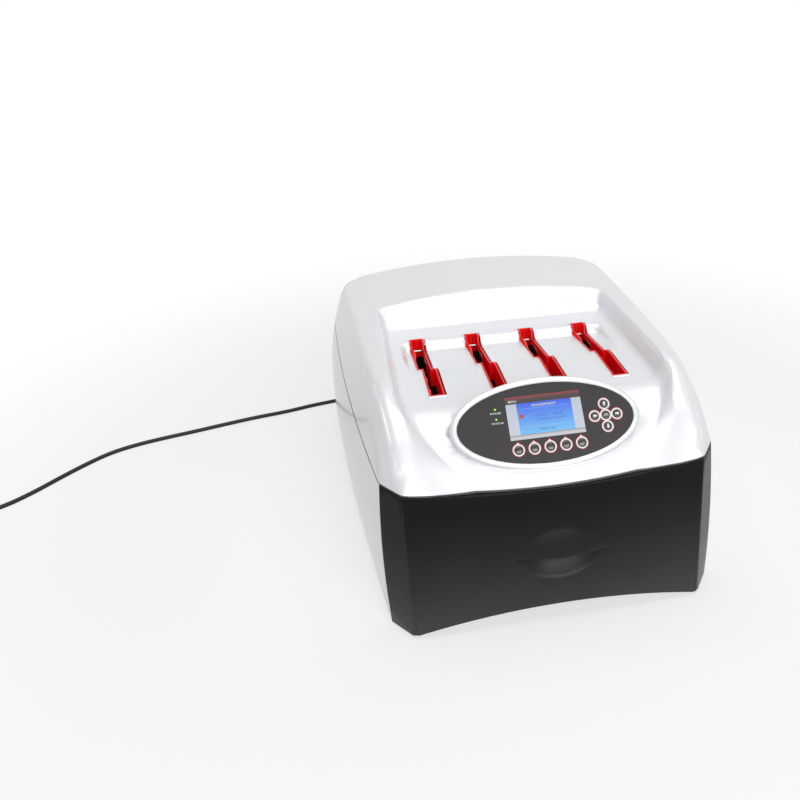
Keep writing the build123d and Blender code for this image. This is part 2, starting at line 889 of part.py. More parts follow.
with BuildPart() as lower_housing:
    add(outer_block)
    add(above_seam(-seam_gap / 2), mode=Mode.SUBTRACT)
    split(bisect_by=Plane.XY.offset(housing_bottom), keep=Keep.TOP)
    split(bisect_by=front_plane(panel_gap + frame_thickness), keep=Keep.BOTTOM)
    add(housing_space.part, mode=Mode.SUBTRACT)
    add(rear_collar.part)
    with BuildSketch(Plane.XZ.offset(-rear_panel_y)):
        with Locations((0, panel_centre_z)):
            Rectangle(panel_width, panel_height)
    extrude(amount=-half_depth, mode=Mode.SUBTRACT)
keep(lower_housing.part, "lower_housing")

with BuildPart() as base_plate:
    add(body_outline(housing_bottom + ledge_thick, shell_wall + plate_gap))
    extrude(amount=plate_thick, dir=(0, 0, 1))
    split(bisect_by=front_plane(panel_gap + frame_thickness), keep=Keep.BOTTOM)
keep(base_plate.part, "base_plate")
plate_top = housing_bottom + ledge_thick + plate_thick

with BuildPart() as feet:
    with BuildSketch(Plane.XY):
        for side in (-1, 1):
            with Locations((side * foot_x, foot_front_y), (side * foot_x, foot_rear_y)):
                Circle(foot_radius)
    extrude(amount=housing_bottom + ledge_thick)
    chamfer(feet.edges().group_by(Axis.Z)[0], length=foot_chamfer)
keep(feet.part, "feet")

# Drawer tub with one bay under each port, on two telescopic slides
with BuildPart() as drawer_tub:
    with BuildSketch(Plane.XY.offset(tub_base_z)):
        with Locations((0, tub_front_y + tub_length / 2)):
            Rectangle(2 * tub_half_width, tub_length)
    extrude(amount=tub_height)
    split(bisect_by=front_plane(0), keep=Keep.BOTTOM)
    with BuildSketch(Plane.XY.offset(tub_base_z + tub_height)):
        for centre_x in port_centres:
            with Locations((centre_x, bay_front_y + bay_length / 2)):
                RectangleRounded(port_pitch - bay_gap, bay_length, bay_corner)
    extrude(amount=tub_wall - tub_height, mode=Mode.SUBTRACT)
keep(drawer_tub.part, "drawer_tub")

slide_names = ["slide_outer", "slide_mid", "slide_inner"]
rail_web_edges = {-1: 0, 1: -1}
rail_step = rail_sheet + rail_gap
for side, side_name in ((-1, "left"), (1, "right")):
    for level, slide_name in enumerate(slide_names):
        web_x = tub_half_width + rail_depth - level * rail_step
        lip_x = tub_half_width + (len(slide_names) - 1 - level) * rail_lip_step
        half = rail_height / 2 - level * rail_step
        with BuildPart() as slide:
            with BuildSketch(Plane.XZ.offset(-rail_front_y)):
                with Locations((side * (web_x + lip_x) / 2, rail_z)):
                    Rectangle(web_x - lip_x, 2 * half)
                with Locations((side * ((web_x + lip_x) / 2 - rail_sheet), rail_z)):
                    Rectangle(web_x - lip_x, 2 * (half - rail_sheet), mode=Mode.SUBTRACT)
            extrude(amount=-rail_length)
            fillet(slide.edges().filter_by(Axis.Y).group_by(Axis.X)[rail_web_edges[side]], radius=rail_bend)
        keep(slide.part, f"{slide_name}_{side_name}")
    bracket_x = side * (tub_half_width + rail_depth)
    with BuildPart() as bracket:
        with BuildSketch(Plane.XZ.offset(-rail_front_y)):
            with BuildLine():
                Polyline(
                    (bracket_x, plate_top),
                    (bracket_x, rail_z + rail_height / 2),
                    (bracket_x + side * bracket_sheet, rail_z + rail_height / 2),
                    (bracket_x + side * bracket_sheet, plate_top + bracket_sheet),
                    (bracket_x + side * bracket_foot, plate_top + bracket_sheet),
                    (bracket_x + side * bracket_foot, plate_top),
                    close=True,
                )
            make_face()
        extrude(amount=-rail_length)
    keep(bracket.part, f"slide_bracket_{side_name}")

# Rear panel with openings for the inlet, the switch and the fan
with BuildPart() as rear_panel:
    with BuildSketch(Plane.XZ.offset(-rear_panel_y)):
        with Locations((0, panel_centre_z)):
            Rectangle(panel_width + 2 * panel_lap, panel_height + 2 * panel_lap)
        with Locations((inlet_x, inlet_z)):
            Rectangle(inlet_width + 2 * panel_fit, inlet_height + 2 * panel_fit, mode=Mode.SUBTRACT)
        with Locations((switch_x, inlet_z)):
            Rectangle(switch_width + 2 * panel_fit, switch_height + 2 * panel_fit, mode=Mode.SUBTRACT)
        with Locations((fan_x, fan_z)):
            Circle(fan_bore_radius, mode=Mode.SUBTRACT)
            with GridLocations(fan_screw_pitch, fan_screw_pitch, 2, 2):
                Circle(fan_screw_radius, mode=Mode.SUBTRACT)
        with Locations((vent_x, vent_z)):
            with GridLocations(vent_pitch_x, vent_pitch_z, vent_columns, vent_rows):
                SlotOverall(vent_length, vent_width, mode=Mode.SUBTRACT)
    extrude(amount=-rear_panel_thick)
keep(rear_panel.part, "rear_panel")

# Mains inlet with three pins, and the rocker switch beside it
pin_places = [(-pin_spread, -pin_lift), (pin_spread, -pin_lift), (0, pin_lift)]
flange_y = panel_outer_y + inlet_flange_thick

with BuildPart() as power_inlet:
    with BuildSketch(Plane.XZ.offset(-panel_outer_y)):
        with Locations((inlet_x, inlet_z)):
            RectangleRounded(inlet_width + 2 * inlet_flange, inlet_height + inlet_flange, inlet_corner)
    extrude(amount=-inlet_flange_thick)
    with BuildSketch(Plane.XZ.offset(-panel_outer_y)):
        with Locations((inlet_x, inlet_z)):
            Rectangle(inlet_width, inlet_height)
    extrude(amount=inlet_depth)
    with BuildSketch(Plane.XZ.offset(-flange_y)):
        with Locations((inlet_x, inlet_z)):
            Rectangle(cavity_width, cavity_height)
    extrude(amount=cavity_depth, mode=Mode.SUBTRACT)
    with BuildSketch(Plane.XZ.offset(cavity_depth - flange_y)):
        with Locations((inlet_x, inlet_z)):
            with Locations(*pin_places):
                Rectangle(pin_width, pin_height)
    extrude(amount=-pin_length)
keep(power_inlet.part, "power_inlet")

rocker_y = flange_y - rocker_sink
with BuildPart() as switch_housing:
    with BuildSketch(Plane.XZ.offset(-panel_outer_y)):
        with Locations((switch_x, inlet_z)):
            RectangleRounded(
                switch_width + 2 * switch_bezel, switch_height + 2 * switch_bezel, inlet_corner
            )
    extrude(amount=-inlet_flange_thick)
    with BuildSketch(Plane.XZ.offset(-panel_outer_y)):
        with Locations((switch_x, inlet_z)):
            Rectangle(switch_width, switch_height)
    extrude(amount=switch_depth)
    with BuildSketch(Plane.XZ.offset(-flange_y)):
        with Locations((switch_x, inlet_z)):
            Rectangle(rocker_width + 2 * rocker_gap, rocker_height + 2 * rocker_gap)
    extrude(amount=switch_depth, mode=Mode.SUBTRACT)
    with BuildSketch(Plane.YZ.offset(switch_x)):
        with Locations((rocker_y, inlet_z)):
            Circle(trunnion_radius + fan_bearing_gap)
    extrude(amount=rocker_width / 2 + trunnion_length + rocker_gap, both=True, mode=Mode.SUBTRACT)
keep(switch_housing.part, "switch_housing")

rocker_plane = Plane(
    origin=(switch_x, rocker_y, inlet_z),
    x_dir=(0, cos(radians(rocker_swing)), sin(radians(rocker_swing))),
    z_dir=(1, 0, 0),
)
with BuildPart() as power_switch:
    with BuildSketch(rocker_plane):
        with BuildLine():
            ThreePointArc(
                (rocker_top, -rocker_height / 2 + rocker_round),
                (rocker_top - rocker_dish, 0),
                (rocker_top, rocker_height / 2 - rocker_round),
            )
            Polyline(
                (rocker_top, rocker_height / 2 - rocker_round),
                (rocker_top - rocker_round, rocker_height / 2 - rocker_round),
                (-rocker_round, rocker_height / 4),
                (-rocker_round, -rocker_height / 4),
                (rocker_top - rocker_round, -rocker_height / 2 + rocker_round),
                (rocker_top, -rocker_height / 2 + rocker_round),
            )
        make_face()
        Circle(2 * trunnion_radius)
    extrude(amount=rocker_width / 2, both=True)
    with BuildSketch(rocker_plane):
        Circle(trunnion_radius)
    extrude(amount=rocker_width / 2 + trunnion_length, both=True)
keep(power_switch.part, "power_switch")

# Cooling fan behind the panel: frame with a motor mount, rotor, and a wire guard outside
fan_centre = Plane.XZ.offset(-rear_panel_y)
motor_front_y = rear_panel_y - fan_depth + fan_motor_depth
with BuildPart() as fan_frame:
    with BuildSketch(fan_centre):
        with Locations((fan_x, fan_z)):
            RectangleRounded(fan_size, fan_size, fan_corner)
            Circle(fan_bore_radius, mode=Mode.SUBTRACT)
            with GridLocations(fan_screw_pitch, fan_screw_pitch, 2, 2):
                Circle(fan_screw_radius, mode=Mode.SUBTRACT)
    extrude(amount=fan_depth)
    with BuildSketch(Plane.XZ.offset(-motor_front_y)):
        with Locations((fan_x, fan_z)):
            Circle(fan_hub_radius)
            for turn in (45, 135):
                Rectangle(2 * fan_bore_radius + 1, fan_strut_width, rotation=turn)
    extrude(amount=fan_motor_depth)
    with BuildSketch(Plane.XZ.offset(-motor_front_y)):
        with Locations((fan_x, fan_z)):
            Circle(fan_shaft_radius + fan_bearing_gap)
    extrude(amount=fan_motor_depth, mode=Mode.SUBTRACT)
keep(fan_frame.part, "fan_frame")

hub_front_y = motor_front_y + fan_clearance / 2
blade_tip = fan_bore_radius - fan_clearance
with BuildPart() as fan_rotor:
    with BuildSketch(Plane.XZ.offset(-hub_front_y)):
        with Locations((fan_x, fan_z)):
            Circle(fan_hub_radius)
    extrude(amount=-fan_hub_depth)
    fillet(fan_rotor.edges().group_by(Axis.Y)[-1], radius=fan_hub_round)
    for i in range(fan_blades):
        turn = radians(360 * i / fan_blades)
        outward = (cos(turn), 0, sin(turn))
        pitch = radians(fan_blade_pitch)
        along = (-sin(turn) * cos(pitch), sin(pitch), cos(turn) * cos(pitch))
        root = fan_hub_radius - fan_blade_sheet
        blade_plane = Plane(
            origin=(fan_x + outward[0] * root, hub_front_y + fan_hub_depth / 2, fan_z + outward[2] * root),
            x_dir=along,
            z_dir=outward,
        )
        with BuildSketch(blade_plane):
            SlotOverall(fan_blade_chord, fan_blade_sheet)
        extrude(amount=blade_tip - root)
    with BuildSketch(Plane.XZ.offset(-hub_front_y)):
        with Locations((fan_x, fan_z)):
            Circle(fan_shaft_radius)
    extrude(amount=fan_motor_depth)
keep(fan_rotor.part, "fan_rotor")

with BuildPart() as fan_grille:
    with BuildSketch(Plane.XZ.offset(-panel_outer_y)):
        with Locations((fan_x, fan_z)):
            for i in range(grille_rings):
                ring = fan_bore_radius - grille_wire - i * grille_pitch
                Circle(ring)
                Circle(ring - grille_wire, mode=Mode.SUBTRACT)
            for turn in (45, 135):
                Rectangle(fan_screw_pitch * sqrt(2), 2 * grille_wire, rotation=turn)
            with GridLocations(fan_screw_pitch, fan_screw_pitch, 2, 2):
                Circle(2 * fan_screw_radius)
    extrude(amount=-grille_wire)
keep(fan_grille.part, "fan_grille")

with BuildPart() as fan_screws:
    with BuildSketch(Plane.XZ.offset(-panel_outer_y - grille_wire)):
        with Locations((fan_x, fan_z)):
            with GridLocations(fan_screw_pitch, fan_screw_pitch, 2, 2):
                Circle(2 * fan_screw_radius)
    extrude(amount=-screw_head)
    fillet(fan_screws.edges().group_by(Axis.Y)[-1], radius=screw_head / 2)
keep(fan_screws.part, "fan_screws")

# Inside: control board on standoffs and the power supply, both on the base plate
with BuildPart() as board_standoffs:
    with BuildSketch(Plane.XY.offset(plate_top)):
        with Locations((board_x, board_y)):
            with GridLocations(board_width - board_edge, board_length - board_edge, 2, 2):
                Circle(standoff_radius)
    extrude(amount=tray_standoff)
keep(board_standoffs.part, "board_standoffs")

with BuildPart() as main_board:
    with BuildSketch(Plane.XY.offset(plate_top + tray_standoff)):
        with Locations((board_x, board_y)):
            Rectangle(board_width, board_length)
    extrude(amount=board_thick)
    with BuildSketch(Plane.XY.offset(plate_top + tray_standoff + board_thick)):
        with Locations((board_x, board_y)):
            with GridLocations(board_width / 2, board_length / 3, 2, 2):
                Rectangle(chip_size, chip_size)
            Rectangle(chip_size / 2, board_length / 2)
    extrude(amount=chip_height)
keep(main_board.part, "main_board")

with BuildPart() as power_supply:
    with BuildSketch(Plane.XY.offset(plate_top)):
        with Locations((supply_x, supply_y)):
            Rectangle(supply_width, supply_length)
    extrude(amount=supply_height)
    with BuildSketch(Plane.XY.offset(plate_top + supply_height)):
        with Locations((supply_x, supply_y)):
            with GridLocations(vent_pitch_z, supply_width / 2, supply_vents, 1):
                SlotOverall(supply_width / 2, vent_width, rotation=90)
    extrude(amount=-screw_head, mode=Mode.SUBTRACT)
keep(power_supply.part, "power_supply")

# Power cord: connector, tube, coil of the length put away, and plug
runs = [Vector(*b) - Vector(*a) for a, b in zip(cord_route, cord_route[1:])]
cord_radii = []
for before, after in zip(runs, runs[1:]):
    half_turn = radians(before.get_angle(after)) / 2
    cord_radii.append(cord_bend_share * min(before.length, after.length) / tan(half_turn))
print("cord radii", [round(radius, 1) for radius in cord_radii])

with BuildPart() as power_cord:
    with BuildLine() as cord_line:
        FilletPolyline(*cord_route, radius=cord_radii)
    with BuildSketch(Plane(origin=cord_route[0], z_dir=runs[0])):
        Circle(cord_diameter / 2)
    sweep(path=cord_line.wires()[0])
cord_section = pi * cord_diameter**2 / 4
print("cord length", round(cord_line.wires()[0].length, 1))
print("cord volume over section times length", power_cord.part.volume / cord_section / cord_line.wires()[0].length)
keep(power_cord.part, "power_cord")

start_y = cord_route[0][1]
relief_y = start_y - relief_length
with BuildPart() as cord_connector:
    with BuildSketch(Plane.XZ.offset(cavity_depth - flange_y - connector_gap)):
        with Locations((inlet_x, inlet_z)):
            Rectangle(connector_nose_width, connector_nose_height)
    extrude(amount=-cavity_depth)
    with BuildSketch(Plane.XZ.offset(-flange_y - connector_gap)):
        with Locations((inlet_x, inlet_z)):
            RectangleRounded(grip_width, grip_height, inlet_corner)
    extrude(amount=-(relief_y - flange_y - connector_gap))
    fillet(cord_connector.edges().group_by(Axis.Y)[-1], radius=inlet_corner)
    with BuildSketch(Plane.XZ.offset(-relief_y + inlet_corner)):
        with Locations((inlet_x, inlet_z)):
            Circle(relief_radius)
    with BuildSketch(Plane.XZ.offset(-start_y)):
        with Locations((inlet_x, inlet_z)):
            Circle(cord_diameter / 2)
    loft()
    with BuildSketch(Plane.XZ.offset(cavity_depth - flange_y - connector_gap)):
        with Locations((inlet_x, inlet_z)):
            with Locations(*pin_places):
                Rectangle(pin_width + connector_gap, pin_height + connector_gap)
    extrude(amount=-pin_length, mode=Mode.SUBTRACT)
keep(cord_connector.part, "cord_connector")

with BuildPart() as cord_coil:
    with BuildSketch(Plane.XZ.offset(-coil_y)):
        with Locations((coil_x + coil_mean_diameter / 2, coil_height / 2)):
            RectangleRounded(coil_band, coil_height, coil_corner)
    revolve(axis=Axis((coil_x, coil_y, 0), (0, 0, 1)))
keep(cord_coil.part, "cord_coil")

# The plug lies beside the coil, its relief reaching back along the outermost turn
plug_x = coil_x - (coil_mean_diameter + coil_band - cord_diameter) / 2
plug_y = coil_y - relief_length
plug_z = plug_thick / 2
plug_end_y = plug_y - plug_length
with BuildPart() as cord_plug:
    with BuildSketch(Plane.XZ.offset(-plug_y)):
        with Locations((plug_x, plug_z)):
            RectangleRounded(plug_width, plug_thick, plug_corner)
    extrude(amount=plug_length)
    fillet(cord_plug.edges().group_by(Axis.Y)[-1], radius=inlet_corner)
    with BuildSketch(Plane.XZ.offset(-plug_y)):
        with Locations((plug_x, plug_z)):
            Circle(relief_radius)
    with BuildSketch(Plane.XZ.offset(-coil_y)):
        with Locations((plug_x, plug_z)):
            Circle(cord_diameter / 2)
    loft()
    with BuildSketch(Plane.XZ.offset(-plug_end_y)):
        for side in (-1, 1):
            with Locations((plug_x + side * blade_spread, plug_z - earth_lift / 2)):
                Rectangle(blade_width, blade_height)
        with Locations((plug_x, plug_z + earth_lift)):
            Circle(earth_radius)
    extrude(amount=blade_length)
keep(cord_plug.part, "cord_plug")
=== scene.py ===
import math

import bmesh
import bpy
import numpy
from mathutils import Matrix, Vector
from mathutils.kdtree import KDTree


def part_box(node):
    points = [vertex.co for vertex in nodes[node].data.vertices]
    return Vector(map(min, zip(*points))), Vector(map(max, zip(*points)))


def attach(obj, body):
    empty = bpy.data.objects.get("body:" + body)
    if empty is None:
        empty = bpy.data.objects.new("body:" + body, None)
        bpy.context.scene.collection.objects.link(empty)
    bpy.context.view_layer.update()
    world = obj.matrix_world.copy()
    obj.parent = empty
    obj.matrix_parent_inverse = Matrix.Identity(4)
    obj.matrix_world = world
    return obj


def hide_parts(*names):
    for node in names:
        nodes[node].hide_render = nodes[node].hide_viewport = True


# Bench instrument for western blots: silver cover, red card ports, oval console, black front drawer.
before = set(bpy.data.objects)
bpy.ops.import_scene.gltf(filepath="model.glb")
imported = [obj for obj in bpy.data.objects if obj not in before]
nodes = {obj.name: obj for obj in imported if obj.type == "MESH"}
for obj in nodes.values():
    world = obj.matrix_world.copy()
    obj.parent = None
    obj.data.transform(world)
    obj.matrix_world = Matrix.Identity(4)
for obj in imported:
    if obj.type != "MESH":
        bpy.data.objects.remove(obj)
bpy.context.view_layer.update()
scene = bpy.context.scene
mm = 0.001


# One number that varies over a surface; arithmetic on it adds Math nodes.
class Field:
    def __init__(self, finish, socket):
        self.finish = finish
        self.socket = socket

    def math(self, operation, other=0.0, swapped=False):
        first, second = (other, self) if swapped else (self, other)
        return self.finish.add("Math", {"operation": operation}, {0: first, 1: second}).out("Value")

    def __add__(self, other):
        return self.math("ADD", other)

    __radd__ = __add__

    def __mul__(self, other):
        return self.math("MULTIPLY", other)

    __rmul__ = __mul__

    def __sub__(self, other):
        return self.math("SUBTRACT", other)

    def __rsub__(self, other):
        return self.math("SUBTRACT", other, swapped=True)

    def __truediv__(self, other):
        return self.math("DIVIDE", other)

    def __rtruediv__(self, other):
        return self.math("DIVIDE", other, swapped=True)


# A new shader node, asked for its outputs by name.
class Added:
    def __init__(self, finish, node):
        self.finish = finish
        self.node = node

    def out(self, name):
        return Field(self.finish, self.node.outputs[name])


# A material, and the methods that make its nodes.
class Finish:
    def __init__(self, name, slot, **constants):
        self.material = bpy.data.materials.new(name)
        self.material.use_nodes = True
        self.slot = slot
        self.tree = self.material.node_tree
        self.tree.nodes.clear()
        self.shader = self.add("BsdfPrincipled").node
        self.output = self.add("OutputMaterial").node
        self.tree.links.new(self.shader.outputs["BSDF"], self.output.inputs["Surface"])
        for socketName, value in constants.items():
            self.shader.inputs[socketName.replace("_", " ")].default_value = value

    def add(self, kind, settings=None, sockets=None):
        node = self.tree.nodes.new("ShaderNode" + kind)
        for key, value in (settings or {}).items():
            if key == "stops":
                setStops(node.color_ramp, value)
            else:
                setattr(node, key, value)
        for key, value in (sockets or {}).items():
            self.plug(node.inputs[key], value)
        return Added(self, node)

    def plug(self, socket, value):
        if isinstance(value, Field):
            self.tree.links.new(value.socket, socket)
        else:
            socket.default_value = value

    def feed(self, **links):
        for socketName, value in links.items():
            self.plug(self.shader.inputs[socketName.replace("_", " ")], value)

    def place(self):
        return self.add("TexCoord").out("Object")

    def noise(self, scale, detail=2.0, roughness=0.5, vector=None):
        sockets = {"Vector": vector or self.place(), "Scale": scale, "Detail": detail, "Roughness": roughness}
        return self.add("TexNoise", {}, sockets).out("Fac")

    def split(self, vector=None):
        parts = self.add("SeparateXYZ", {}, {"Vector": vector or self.place()})
        return parts.out("X"), parts.out("Y"), parts.out("Z")

    def ramp(self, value, stops):
        return self.add("ValToRGB", {"stops": stops}, {"Fac": value}).out("Color")

    def bump(self, height, strength, distance, **normal):
        sockets = {"Height": height, "Strength": strength, "Distance": distance, **normal}
        return self.add("Bump", {}, sockets).out("Normal")


def setStops(ramp, stops):
    while len(ramp.elements) > 1:
        ramp.elements.remove(ramp.elements[-1])
    for number, (position, colour) in enumerate(stops):
        element = ramp.elements[0] if number == 0 else ramp.elements.new(position)
        element.position = position
        element.color = colour


def grey(value):
    return (value, value, value, 1.0)


# Painted and moulded finishes: fine orange peel or moulding grain, a little unevenness in gloss.
paintLook = {
    "coatRough": 0.12,
    "shine": 0.5,
    "cloudDetail": 3.0,
    "shadeEnds": (0.35, 0.65),
    "edge": 0.0,
    "edgeSamples": 6,
}


def paintFinish(name, slot, look):
    look = {**paintLook, **look}
    finish = Finish(
        name,
        slot,
        Metallic=look["metallic"],
        Coat_Weight=look["coat"],
        Coat_Roughness=look["coatRough"],
        Specular_IOR_Level=look["shine"],
    )
    cloud = finish.noise(look["cloudScale"], look["cloudDetail"])
    edge = {}
    if look["edge"]:
        rounded = finish.add("Bevel", {"samples": look["edgeSamples"]}, {"Radius": look["edge"] * mm})
        edge["Normal"] = rounded.out("Normal")
    finish.feed(
        Base_Color=finish.ramp(cloud, zip(look["shadeEnds"], (look["shade"], look["base"]))),
        Roughness=cloud * look["roughSpread"] + (look["rough"] - look["roughSpread"] / 2),
        Normal=finish.bump(finish.noise(look["grainScale"]), look["grain"], look["grainDepth"] * mm, **edge),
    )
    return finish


coverLook = {
    "base": (0.76, 0.77, 0.79, 1.0),
    "shade": (0.735, 0.745, 0.765, 1.0),
    "metallic": 0.25,
    "coat": 0.5,
    "rough": 0.36,
    "roughSpread": 0.06,
    "cloudScale": 9.0,
    "grainScale": 700.0,
    "grain": 0.12,
    "grainDepth": 0.05,
    "edge": 3.0,
}
blackLook = {
    "base": grey(0.014),
    "shade": grey(0.011),
    "metallic": 0.0,
    "coat": 0.0,
    "shine": 0.28,
    "rough": 0.36,
    "roughSpread": 0.05,
    "cloudScale": 14.0,
    "grainScale": 1500.0,
    "grain": 0.25,
    "grainDepth": 0.06,
}
redLook = {
    "base": (0.95, 0.006, 0.009, 1.0),
    "shade": (0.86, 0.005, 0.008, 1.0),
    "metallic": 0.0,
    "coat": 0.05,
    "shine": 0.3,
    "rough": 0.4,
    "roughSpread": 0.05,
    "cloudScale": 30.0,
    "grainScale": 900.0,
    "grain": 0.05,
    "grainDepth": 0.03,
}
overlayLook = {
    "base": (0.022, 0.019, 0.021, 1.0),
    "shade": (0.019, 0.017, 0.018, 1.0),
    "shine": 0.3,
    "metallic": 0.0,
    "coat": 0.15,
    "rough": 0.48,
    "roughSpread": 0.06,
    "cloudScale": 25.0,
    "grainScale": 2600.0,
    "grain": 0.18,
    "grainDepth": 0.03,
}


def changed(look, **values):
    return {**look, **values}


coverSilver = paintFinish("coverSilver", "cover_silver", coverLook)

# Painted shade along the gap between cover and housing: a dark band on the silver, following the arc that parts
# them, standing in for the shadow in the gap; in metres.
seamShadeLook = {
    "height": 0.198,
    "dip": 0.010,
    "halfWidth": 0.1865,
    "gapHalf": 0.0017,
    "gapEdge": 0.0005,
    "reach": 0.004,
    "gapShade": grey(0.015),
}


def paintSeamShade(finish, look, silver):
    place = finish.split()
    outward = (place[0] / look["halfWidth"]).math("ABSOLUTE").math("MINIMUM", 1.0)
    seam = outward * outward * look["dip"] + (look["height"] - look["dip"])
    away = (place[2] - seam).math("ABSOLUTE") / look["reach"]
    inner, outer = (width / look["reach"] for width in (look["gapHalf"], look["gapHalf"] + look["gapEdge"]))
    # Painted shade: the silver turns dark in a band around the seam, wider than the gap in the solids.
    finish.feed(Base_Color=finish.ramp(away, [(inner, look["gapShade"]), (outer, silver)]))


paintSeamShade(coverSilver, seamShadeLook, coverLook["base"])

# Painted shade and light: the black front's colour is lighter low down and darker towards its top, standing in
# for how the light falls on it.
frontLook = {
    **changed(blackLook, edge=2.0, shine=0.17, rough=0.32),
    "height": 0.21,
    "unevenScale": 11.0,
    "uneven": 0.12,
    "rise": [(0.08, grey(0.055)), (0.4, grey(0.024)), (0.6, grey(0.01)), (0.85, grey(0.001))],
}


def frontFinishWithPaintedShade(look):
    finish = paintFinish("frontBlack", "front_black", look)
    # Painted shade: the base colour ramps with height from lighter at the bottom to darker at the top, with a
    # little random unevenness.
    rise = finish.split()[2] / look["height"] + finish.noise(look["unevenScale"]) * look["uneven"]
    finish.feed(Base_Color=finish.ramp(rise, look["rise"]))
    return finish


frontBlack = frontFinishWithPaintedShade(frontLook)
portRed = paintFinish("portRed", "port_red", redLook)
overlayGrey = paintFinish("overlayGrey", "overlay_grey", overlayLook)
frameSilver = paintFinish("frameSilver", "frame_silver", changed(coverLook, metallic=0.6))
guideDark = paintFinish("guideDark", "guide_dark", changed(blackLook, base=grey(0.03)))
tubLook = changed(coverLook, base=grey(0.45), shade=grey(0.42), metallic=0.0)
tubGrey = paintFinish("tubGrey", "tub_grey", tubLook)
keyLook = changed(blackLook, rough=0.12, coat=0.6, grain=0.03, shine=0.5)
keyBlack = paintFinish("keyBlack", "key_black", keyLook)
inletBlack = paintFinish("inletBlack", "inlet_black", changed(blackLook, rough=0.5))
panelGrey = paintFinish("panelGrey", "panel_grey", changed(blackLook, base=grey(0.2), shade=grey(0.18)))
plateSteel = paintFinish("plateSteel", "plate_steel", changed(blackLook, base=grey(0.14), shade=grey(0.12)))
footRubber = paintFinish("footRubber", "foot_rubber", changed(blackLook, rough=0.8))
cordBlack = paintFinish("cordBlack", "cord_black", changed(blackLook, rough=0.45))
boardLook = changed(redLook, base=(0.02, 0.16, 0.06, 1.0), shade=(0.015, 0.12, 0.05, 1.0))
boardGreen = paintFinish("boardGreen", "board_green", boardLook)


# Brushed metal, with its lines along the depth of the instrument.
steelLook = {
    "base": grey(0.62),
    "shade": grey(0.52),
    "shadeEnds": (0.3, 0.7),
    "stretch": (1.0, 0.03, 1.0),
    "brush": 900.0,
    "rough": 0.26,
    "roughSpread": 0.12,
    "bump": 0.1,
    "bumpDepth": 0.02,
}


def metalFinish(name, slot, look):
    finish = Finish(name, slot, Metallic=1.0)
    stretch = finish.add("Mapping", {}, {"Vector": finish.place(), "Scale": look["stretch"]}).out("Vector")
    brushed = finish.noise(look["brush"], vector=stretch)
    finish.feed(
        Base_Color=finish.ramp(brushed, zip(look["shadeEnds"], (look["shade"], look["base"]))),
        Roughness=brushed * look["roughSpread"] + look["rough"],
        Normal=finish.bump(brushed, look["bump"], look["bumpDepth"] * mm),
    )
    return finish


slideSteel = metalFinish("slideSteel", "slide_steel", steelLook)
contactMetal = metalFinish("contactMetal", "contact_metal", changed(steelLook, rough=0.14))
supplyCase = metalFinish("supplyCase", "supply_case", steelLook)


lampGreen = Finish("lampGreen", "led_green", Roughness=0.2, Emission_Strength=0.55)
lampGreen.feed(Base_Color=(0.25, 0.62, 0.06, 1.0), Emission_Color=(0.32, 0.85, 0.08, 1.0))
displayBack = paintFinish("displayBack", "display_panel", changed(blackLook, base=(0.1, 0.12, 0.2, 1.0)))
print("finishes ready")

cadFinishes = {
    coverSilver: ["top_cover", "lower_housing"],
    frontBlack: ["drawer_front"],
    frameSilver: ["front_frame"],
    guideDark: ["card_guide_1", "card_guide_2", "card_guide_3", "card_guide_4"],
    portRed: ["card_port_1", "card_port_2", "card_port_3", "card_port_4"],
    overlayGrey: ["console_overlay"],
    tubGrey: ["drawer_tub", "front_backing"],
    panelGrey: ["rear_panel"],
    inletBlack: ["power_inlet", "switch_housing", "fan_frame", "fan_rotor"],
    plateSteel: ["base_plate", "slide_bracket_left", "slide_bracket_right"],
    footRubber: ["feet"],
    cordBlack: ["cord_connector", "cord_plug"],
    boardGreen: ["key_board", "main_board"],
    slideSteel: ["fan_grille", "fan_screws"],
    contactMetal: ["port_contacts", "board_standoffs"],
    supplyCase: ["power_supply"],
    lampGreen: ["status_leds"],
    displayBack: ["display_module"],
    keyBlack: ["power_switch"],
}
for level in ("outer", "mid", "inner"):
    cadFinishes[slideSteel] += [f"slide_{level}_left", f"slide_{level}_right"]
keyNodes = [f"key_soft_{number}" for number in range(1, 6)]
keyNodes += ["key_up", "key_down", "key_left", "key_right", "key_ok"]
cadFinishes[keyBlack] += keyNodes
for finish, members in cadFinishes.items():
    for member in members:
        slots = nodes[member].material_slots
        for slot in slots:
            slot.link = "OBJECT"
            slot.material = finish.material
print("CAD nodes finished")

# Console: what is printed on it or stands on it, in millimetres across and up its slope
# from the display's middle.
consoleLook = {
    "place": (0.0, -225.0, 250.2),
    "tilt": 47.5,
    "ringPoints": 44,
    "printHigh": 0.08,
    "softAcross": [-39.76, -19.88, 0.0, 19.88, 39.76],
    "softUp": -39.4,
    "softRadius": 5.5,
    "navAcross": 75.9,
    "navUp": -8.9,
    "navPitch": 14.3,
    "navRadius": 5.2,
    "keyHigh": 1.6,
    "keyGap": 0.25,
    "whiteReach": 2.0,
    "redReach": 2.65,
    "softInset": 0.25,
    "navInset": 0.15,
    "tipReach": 2.3,
    "tipInset": 0.9,
    "tipSpread": 20.0,
    "lampWords": [("POWER", -60.9, 8.9, 13.6, 2.3), ("STATUS", -60.3, -3.6, 14.4, 2.3)],
    "okSize": (5.8, 3.3),
    "arrow": [(0.0, 2.9), (-2.4, 0.4), (-1.0, 0.4), (-1.0, -2.7), (1.0, -2.7), (1.0, 0.4), (2.4, 0.4)],
    "domeRings": 9,
    "domeFoot": -0.6,
    "domeShoulder": 0.2,
}


